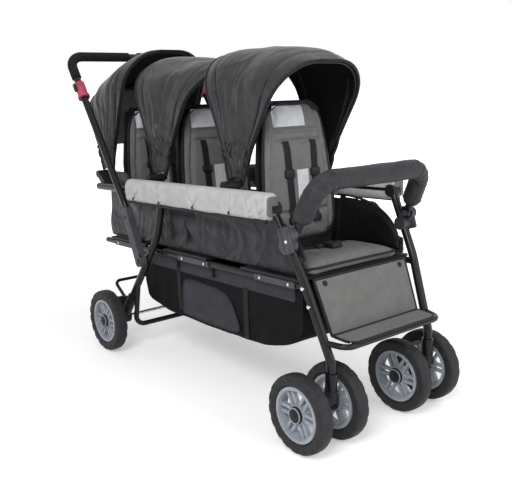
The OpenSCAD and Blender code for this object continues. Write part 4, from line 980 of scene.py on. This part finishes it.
def bumper_sleeve():
    """Padded tube of cloth along the bar, smooth on top; shallow folds at both bends crowd towards the
    brackets, where the ends are gathered, and a seam runs underneath."""
    hub = pivot("bumper_swing")
    wide, tip = 0.222, np.array([0.482, 0.206, 0.723])
    line = filleted([(hub[0], -wide, hub[2]), tip * [1, -1, 1], tip, (hub[0], wide, hub[2])],
                    [BUMPER_BEND, BUMPER_BEND], 0.004)
    length = np.concatenate([[0], np.cumsum(np.linalg.norm(np.diff(line, axis=0), axis=1))])
    keep = (length > 0.034) & (length < length[-1] - 0.034)
    line, s = line[keep], length[keep]
    ends = np.minimum(s - s[0], s[-1] - s)[:, None]
    w = np.linspace(0, 2 * np.pi, 48, endpoint=False)[None]
    spoke = sweep(line, 1.0, 1.0, (0.0, 0.3, 1.0), 48)[0] - line[:, None]
    folds = 0.0007 * ripple(s[:, None] * 9, w / 5, 3, 6, 0.6, 1.5)
    folds = folds + 0.0014 * np.exp(-ends / 0.05) * np.sin(2 * np.pi * ends / 0.013 + 2 * np.cos(w))
    bends = np.exp(-((ends - 0.13) / 0.05) ** 2)
    folds = folds + 0.0009 * bends * np.sin(2 * np.pi * ends / 0.021 + 3 * np.cos(w))
    gathered, seam = 0.008 * (1 - smoothstep(0, 0.016, ends)), 0.0016 * np.exp(-((w - np.pi) / 0.09) ** 2)
    r = SLEEVE_R - gathered + folds - seam
    return line[:, None] + spoke * r[..., None]


sleeve = piece("bumper_sleeve_cloth", [(bumper_sleeve(), False, True, 0)], "bumper", BUMPER_CLOTH,
               "bumper_cloth", ["bumper_sleeve"])


# Wheels

WHEELS = {name[:-len("_spin")]: name for name in JOINT if name.endswith("_spin")}
WHEEL_R, RIM_R, TYRE_HALF = 0.111, 0.0772, 0.0225


def tyre(centre, turns=252, around=56):
    """Foam tyre: a rounded section carried round the axle. The tread has two grooves, and half-round lugs
    stand on both walls, one every 20 degrees and staggered from side to side."""
    a, w = np.meshgrid(np.linspace(0, 2 * np.pi, turns, endpoint=False),
                       np.linspace(0, 2 * np.pi, around, endpoint=False), indexing="ij")
    mid, deep = (WHEEL_R - 0.001 + RIM_R) / 2, (WHEEL_R - 0.001 - RIM_R) / 2
    c, s = np.cos(w), np.sin(w)
    y = (TYRE_HALF - 0.0012) * np.sign(s) * np.abs(s) ** 0.62
    r = mid + deep * np.sign(c) * np.abs(c) ** 0.62
    outer = smoothstep(0.1, 0.5, c)
    step = np.pi / 9
    off = (a + np.where(s > 0, 0, step / 2) + step / 2) % step - step / 2
    lug = 1 - smoothstep(0.0095, 0.0125, np.hypot(0.1 * off, r - 0.108))
    wall = smoothstep(0.3, 0.7, np.abs(s))
    lift = -0.0016 * np.exp(-((np.abs(y) - 0.0075) / 0.0012) ** 2) * outer
    r = r + lift * c
    y = y + lift * s + 0.0018 * (lug - 0.4) * wall * np.sign(s) * smoothstep(0.09, 0.096, r)
    return np.stack([centre[0] + r * np.cos(a), centre[1] + y, centre[2] + r * np.sin(a)], -1)


CAP = [(0.0001, 0.0006), (0.0045, 0.0004), (0.0052, -0.0008), (0.014, -0.0002), (0.0205, -0.0012),
       (0.0232, -0.0035), (0.024, -0.0065), (0.024, -0.014), (0.0001, -0.014)]
for wheel, joint in WHEELS.items():
    hub = pivot(joint)
    piece("tyre_tread_" + wheel, [closed_ring(tyre(hub))], wheel + "_wheel", TYRE_FOAM, "tread_rubber",
          ["tyre_" + wheel])
    caps = [lathe(hub + [0, face * TYRE_HALF, 0], (0, face, 0), CAP, 40) for face in (-1, 1)]
    piece("hub_caps_" + wheel, caps, wheel + "_wheel", NYLON, "black_plastic")


# Small fittings

RIVET = [(0.0001, 0.0026), (0.003, 0.0023), (0.0052, 0.0008), (0.0056, -0.003), (0.0001, -0.003)]
COLLAR_RIB = [(0.0171, -0.0021), (0.0186, -0.0012), (0.0186, 0.0012), (0.0171, 0.0021)]
BOSS = [(0.0001, 0.006), (0.005, 0.0056), (0.0075, 0.004), (0.008, 0.001), (0.008, -0.006), (0.0001, -0.006)]
BRACKET_LIE = np.array([-0.33, 0.0, 0.94])
handle_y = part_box("handle_tube")[1][1]
link_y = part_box("fold_links")[1][1]
bracket_low, bracket_high = corners("bumper_brackets")
bosses, rivets, ribs, screws = [], [], [], []
for side, hand in HANDS:
    low, high = corners("release_collar_" + hand)
    mid, face = (low + high) / 2, np.array([0.0, side, 0.0])
    slide = np.array(JOINT[hand + "_release"]["axis"], float)
    piece("collar_ribs_" + hand, [lathe(mid + slide * k, slide, COLLAR_RIB, 40)
                                  for k in (-0.004, 0.004, 0.012, 0.02)],
          hand + "_collar", RED_NYLON, "collar_red")
    pull = block(mid + slide * 0.014 + face * 0.0185, slide, face, (0.014, 0.006, 0.008))
    piece("collar_pull_" + hand, [pull], hand + "_collar", NYLON, "black_plastic")
    mark = block(mid + slide * 0.026 + face * 0.0195, slide, face, (0.004, 0.006, 0.006))
    piece("collar_mark_" + hand, [mark], hand + "_collar", ORANGE_NYLON, "collar_red")
    stud = np.array([-0.7195, side * (handle_y - 0.002), 0.956]) + slide * 0.024
    bosses.append(lathe(stud, face, BOSS, 24))
    rivets += [lathe((x, side * link_y, z), face, RIVET, 20) for x, z in ((-0.388, 0.503), (-0.3, 0.384))]
    plate_at = np.array([(bracket_low[0] + bracket_high[0]) / 2, side * bracket_high[1], 0.563])
    ribs.append(block(plate_at, BRACKET_LIE, face, (0.036, 0.004, 0.021)))
    ribs += [block(plate_at + face * 0.004 + [dx, 0, 0], BRACKET_LIE, face, (0.03, 0.0016, 0.0018))
             for dx in (-0.014, -0.008, 0.014)]
    screws.append(lathe(plate_at + face * 0.004 + [0.004, 0, -0.002], face, RIVET, 20))
piece("handle_bosses", bosses, "handle", NYLON, "black_plastic")
piece("fold_link_rivets", rivets, "handle", NYLON, "black_plastic")
piece("bracket_faces", ribs, "chassis", BRACKET, "bracket_grey")
piece("bracket_screws", screws, "chassis", ZINC, "steel")


# Finishes of the frame's own nodes

FINISH = {
    ENAMEL: ("front_legs", "rear_legs", "side_rails", "seat_rails", "footrest_loop", "rear_stretcher",
             "handle_tube", "canopy_rear_bows", "canopy_bow_front", "canopy_bow_middle", "canopy_bow_rear",
             "brake_bar", "bumper_tube"),
    ZINC: ("rear_axle", "frame_rivets"),
    NYLON: ("rail_caps", "axle_brackets", "canopy_clips", "seat_boards", "back_board_front",
            "back_board_middle", "back_board_rear", "caster_fork_right", "caster_fork_left"),
    GREY_NYLON: ("seat_strips", "fold_links"),
    BRACKET: ("bumper_brackets",),
    RED_NYLON: ("release_collar_right", "release_collar_left"),
    GRIP_FOAM: ("handle_grips",),
    RIM_NYLON: tuple("rim_" + wheel for wheel in WHEELS),
}
for material, nodes in FINISH.items():
    for node in nodes:
        mesh = frame["nodes"][node].data
        mesh.materials.clear()
        mesh.materials.append(material)

# The snaps among the rivets, those beside the covers, are black.
rivet_mesh = frame["nodes"]["frame_rivets"].data
rivet_mesh.materials.append(NYLON)
middles = np.array([face.center for face in rivet_mesh.polygons])
on_cover = (np.abs(middles[:, 1]) > COVER_Y) & (middles[:, 2] > low_z(COVER_X[1]) + 0.05)
rivet_mesh.polygons.foreach_set("material_index", on_cover.astype(int))


# Floor, light and background

def seen_share(tree):
    """1 for the rays that show the background: camera, glossy and transmission rays; 0 for the others."""
    ray = add(tree, "ShaderNodeLightPath")
    seen = ray.outputs["Is Camera Ray"]
    for other in ("Is Glossy Ray", "Is Transmission Ray"):
        seen = add(tree, "ShaderNodeMath", {0: seen, 1: ray.outputs[other]}, operation="MAXIMUM").outputs[0]
    return seen


def floor_material():
    """Pale paper sweep: takes the object's soft shadow near it and whitens with distance, to the eye."""
    m, t, shader, place = finish("white_paper_sweep", Roughness=0.9)
    shader.inputs["Base Color"].default_value = srgb("f4f4f4")
    far = add(t, "ShaderNodeVectorMath", {0: place}, operation="LENGTH")
    share = add(t, "ShaderNodeMapRange", {"Value": far.outputs["Value"], "From Min": 0.8, "From Max": 2.4,
                                          "To Min": 0.32}, interpolation_type="SMOOTHSTEP")
    part = add(t, "ShaderNodeMath", {0: seen_share(t), 1: share.outputs[0]}, operation="MULTIPLY")
    glow = add(t, "ShaderNodeEmission", {"Color": (1, 1, 1, 1), "Strength": part.outputs[0]})
    mix = add(t, "ShaderNodeAddShader", {0: shader.outputs[0], 1: glow.outputs[0]})
    t.links.new(mix.outputs[0], t.nodes["Material Output"].inputs["Surface"])
    return m


floor_mesh = bpy.data.meshes.new("floor")
floor_mesh.from_pydata([(-30, -30, 0), (30, -30, 0), (30, 30, 0), (-30, 30, 0)], [], [(0, 1, 2, 3)])
floor_mesh.materials.append(floor_material())
floor = bpy.data.objects.new("floor", floor_mesh)
scene.collection.objects.link(floor)

world = bpy.data.worlds.new("studio")
scene.world = world
world.use_nodes = True
sky = world.node_tree
level = add(sky, "ShaderNodeMapRange", {"Value": seen_share(sky), "To Min": 0.48, "To Max": 1.0})
sky.links.new(level.outputs[0], sky.nodes["Background"].inputs["Strength"])
sky.nodes["Background"].inputs["Color"].default_value = (1, 1, 1, 1)


def softbox(name, spot, aim, size, power):
    """Square area lamp at spot, turned to aim."""
    lamp = bpy.data.lights.new(name, "AREA")
    lamp.size, lamp.energy = size, power
    obj = bpy.data.objects.new(name, lamp)
    scene.collection.objects.link(obj)
    obj.location = spot
    obj.rotation_euler = (Vector(aim) - Vector(spot)).to_track_quat("-Z", "Y").to_euler()


softbox("key", (2.2, -2.8, 2.9), (0.1, 0, 0.5), 1.5, 100)
softbox("fill", (3.4, 1.0, 1.8), (0.1, 0, 0.5), 2.4, 45)
softbox("top", (-0.6, 0.4, 3.6), (0.0, 0, 0.5), 3.0, 14)

scene.view_settings.view_transform = "Standard"
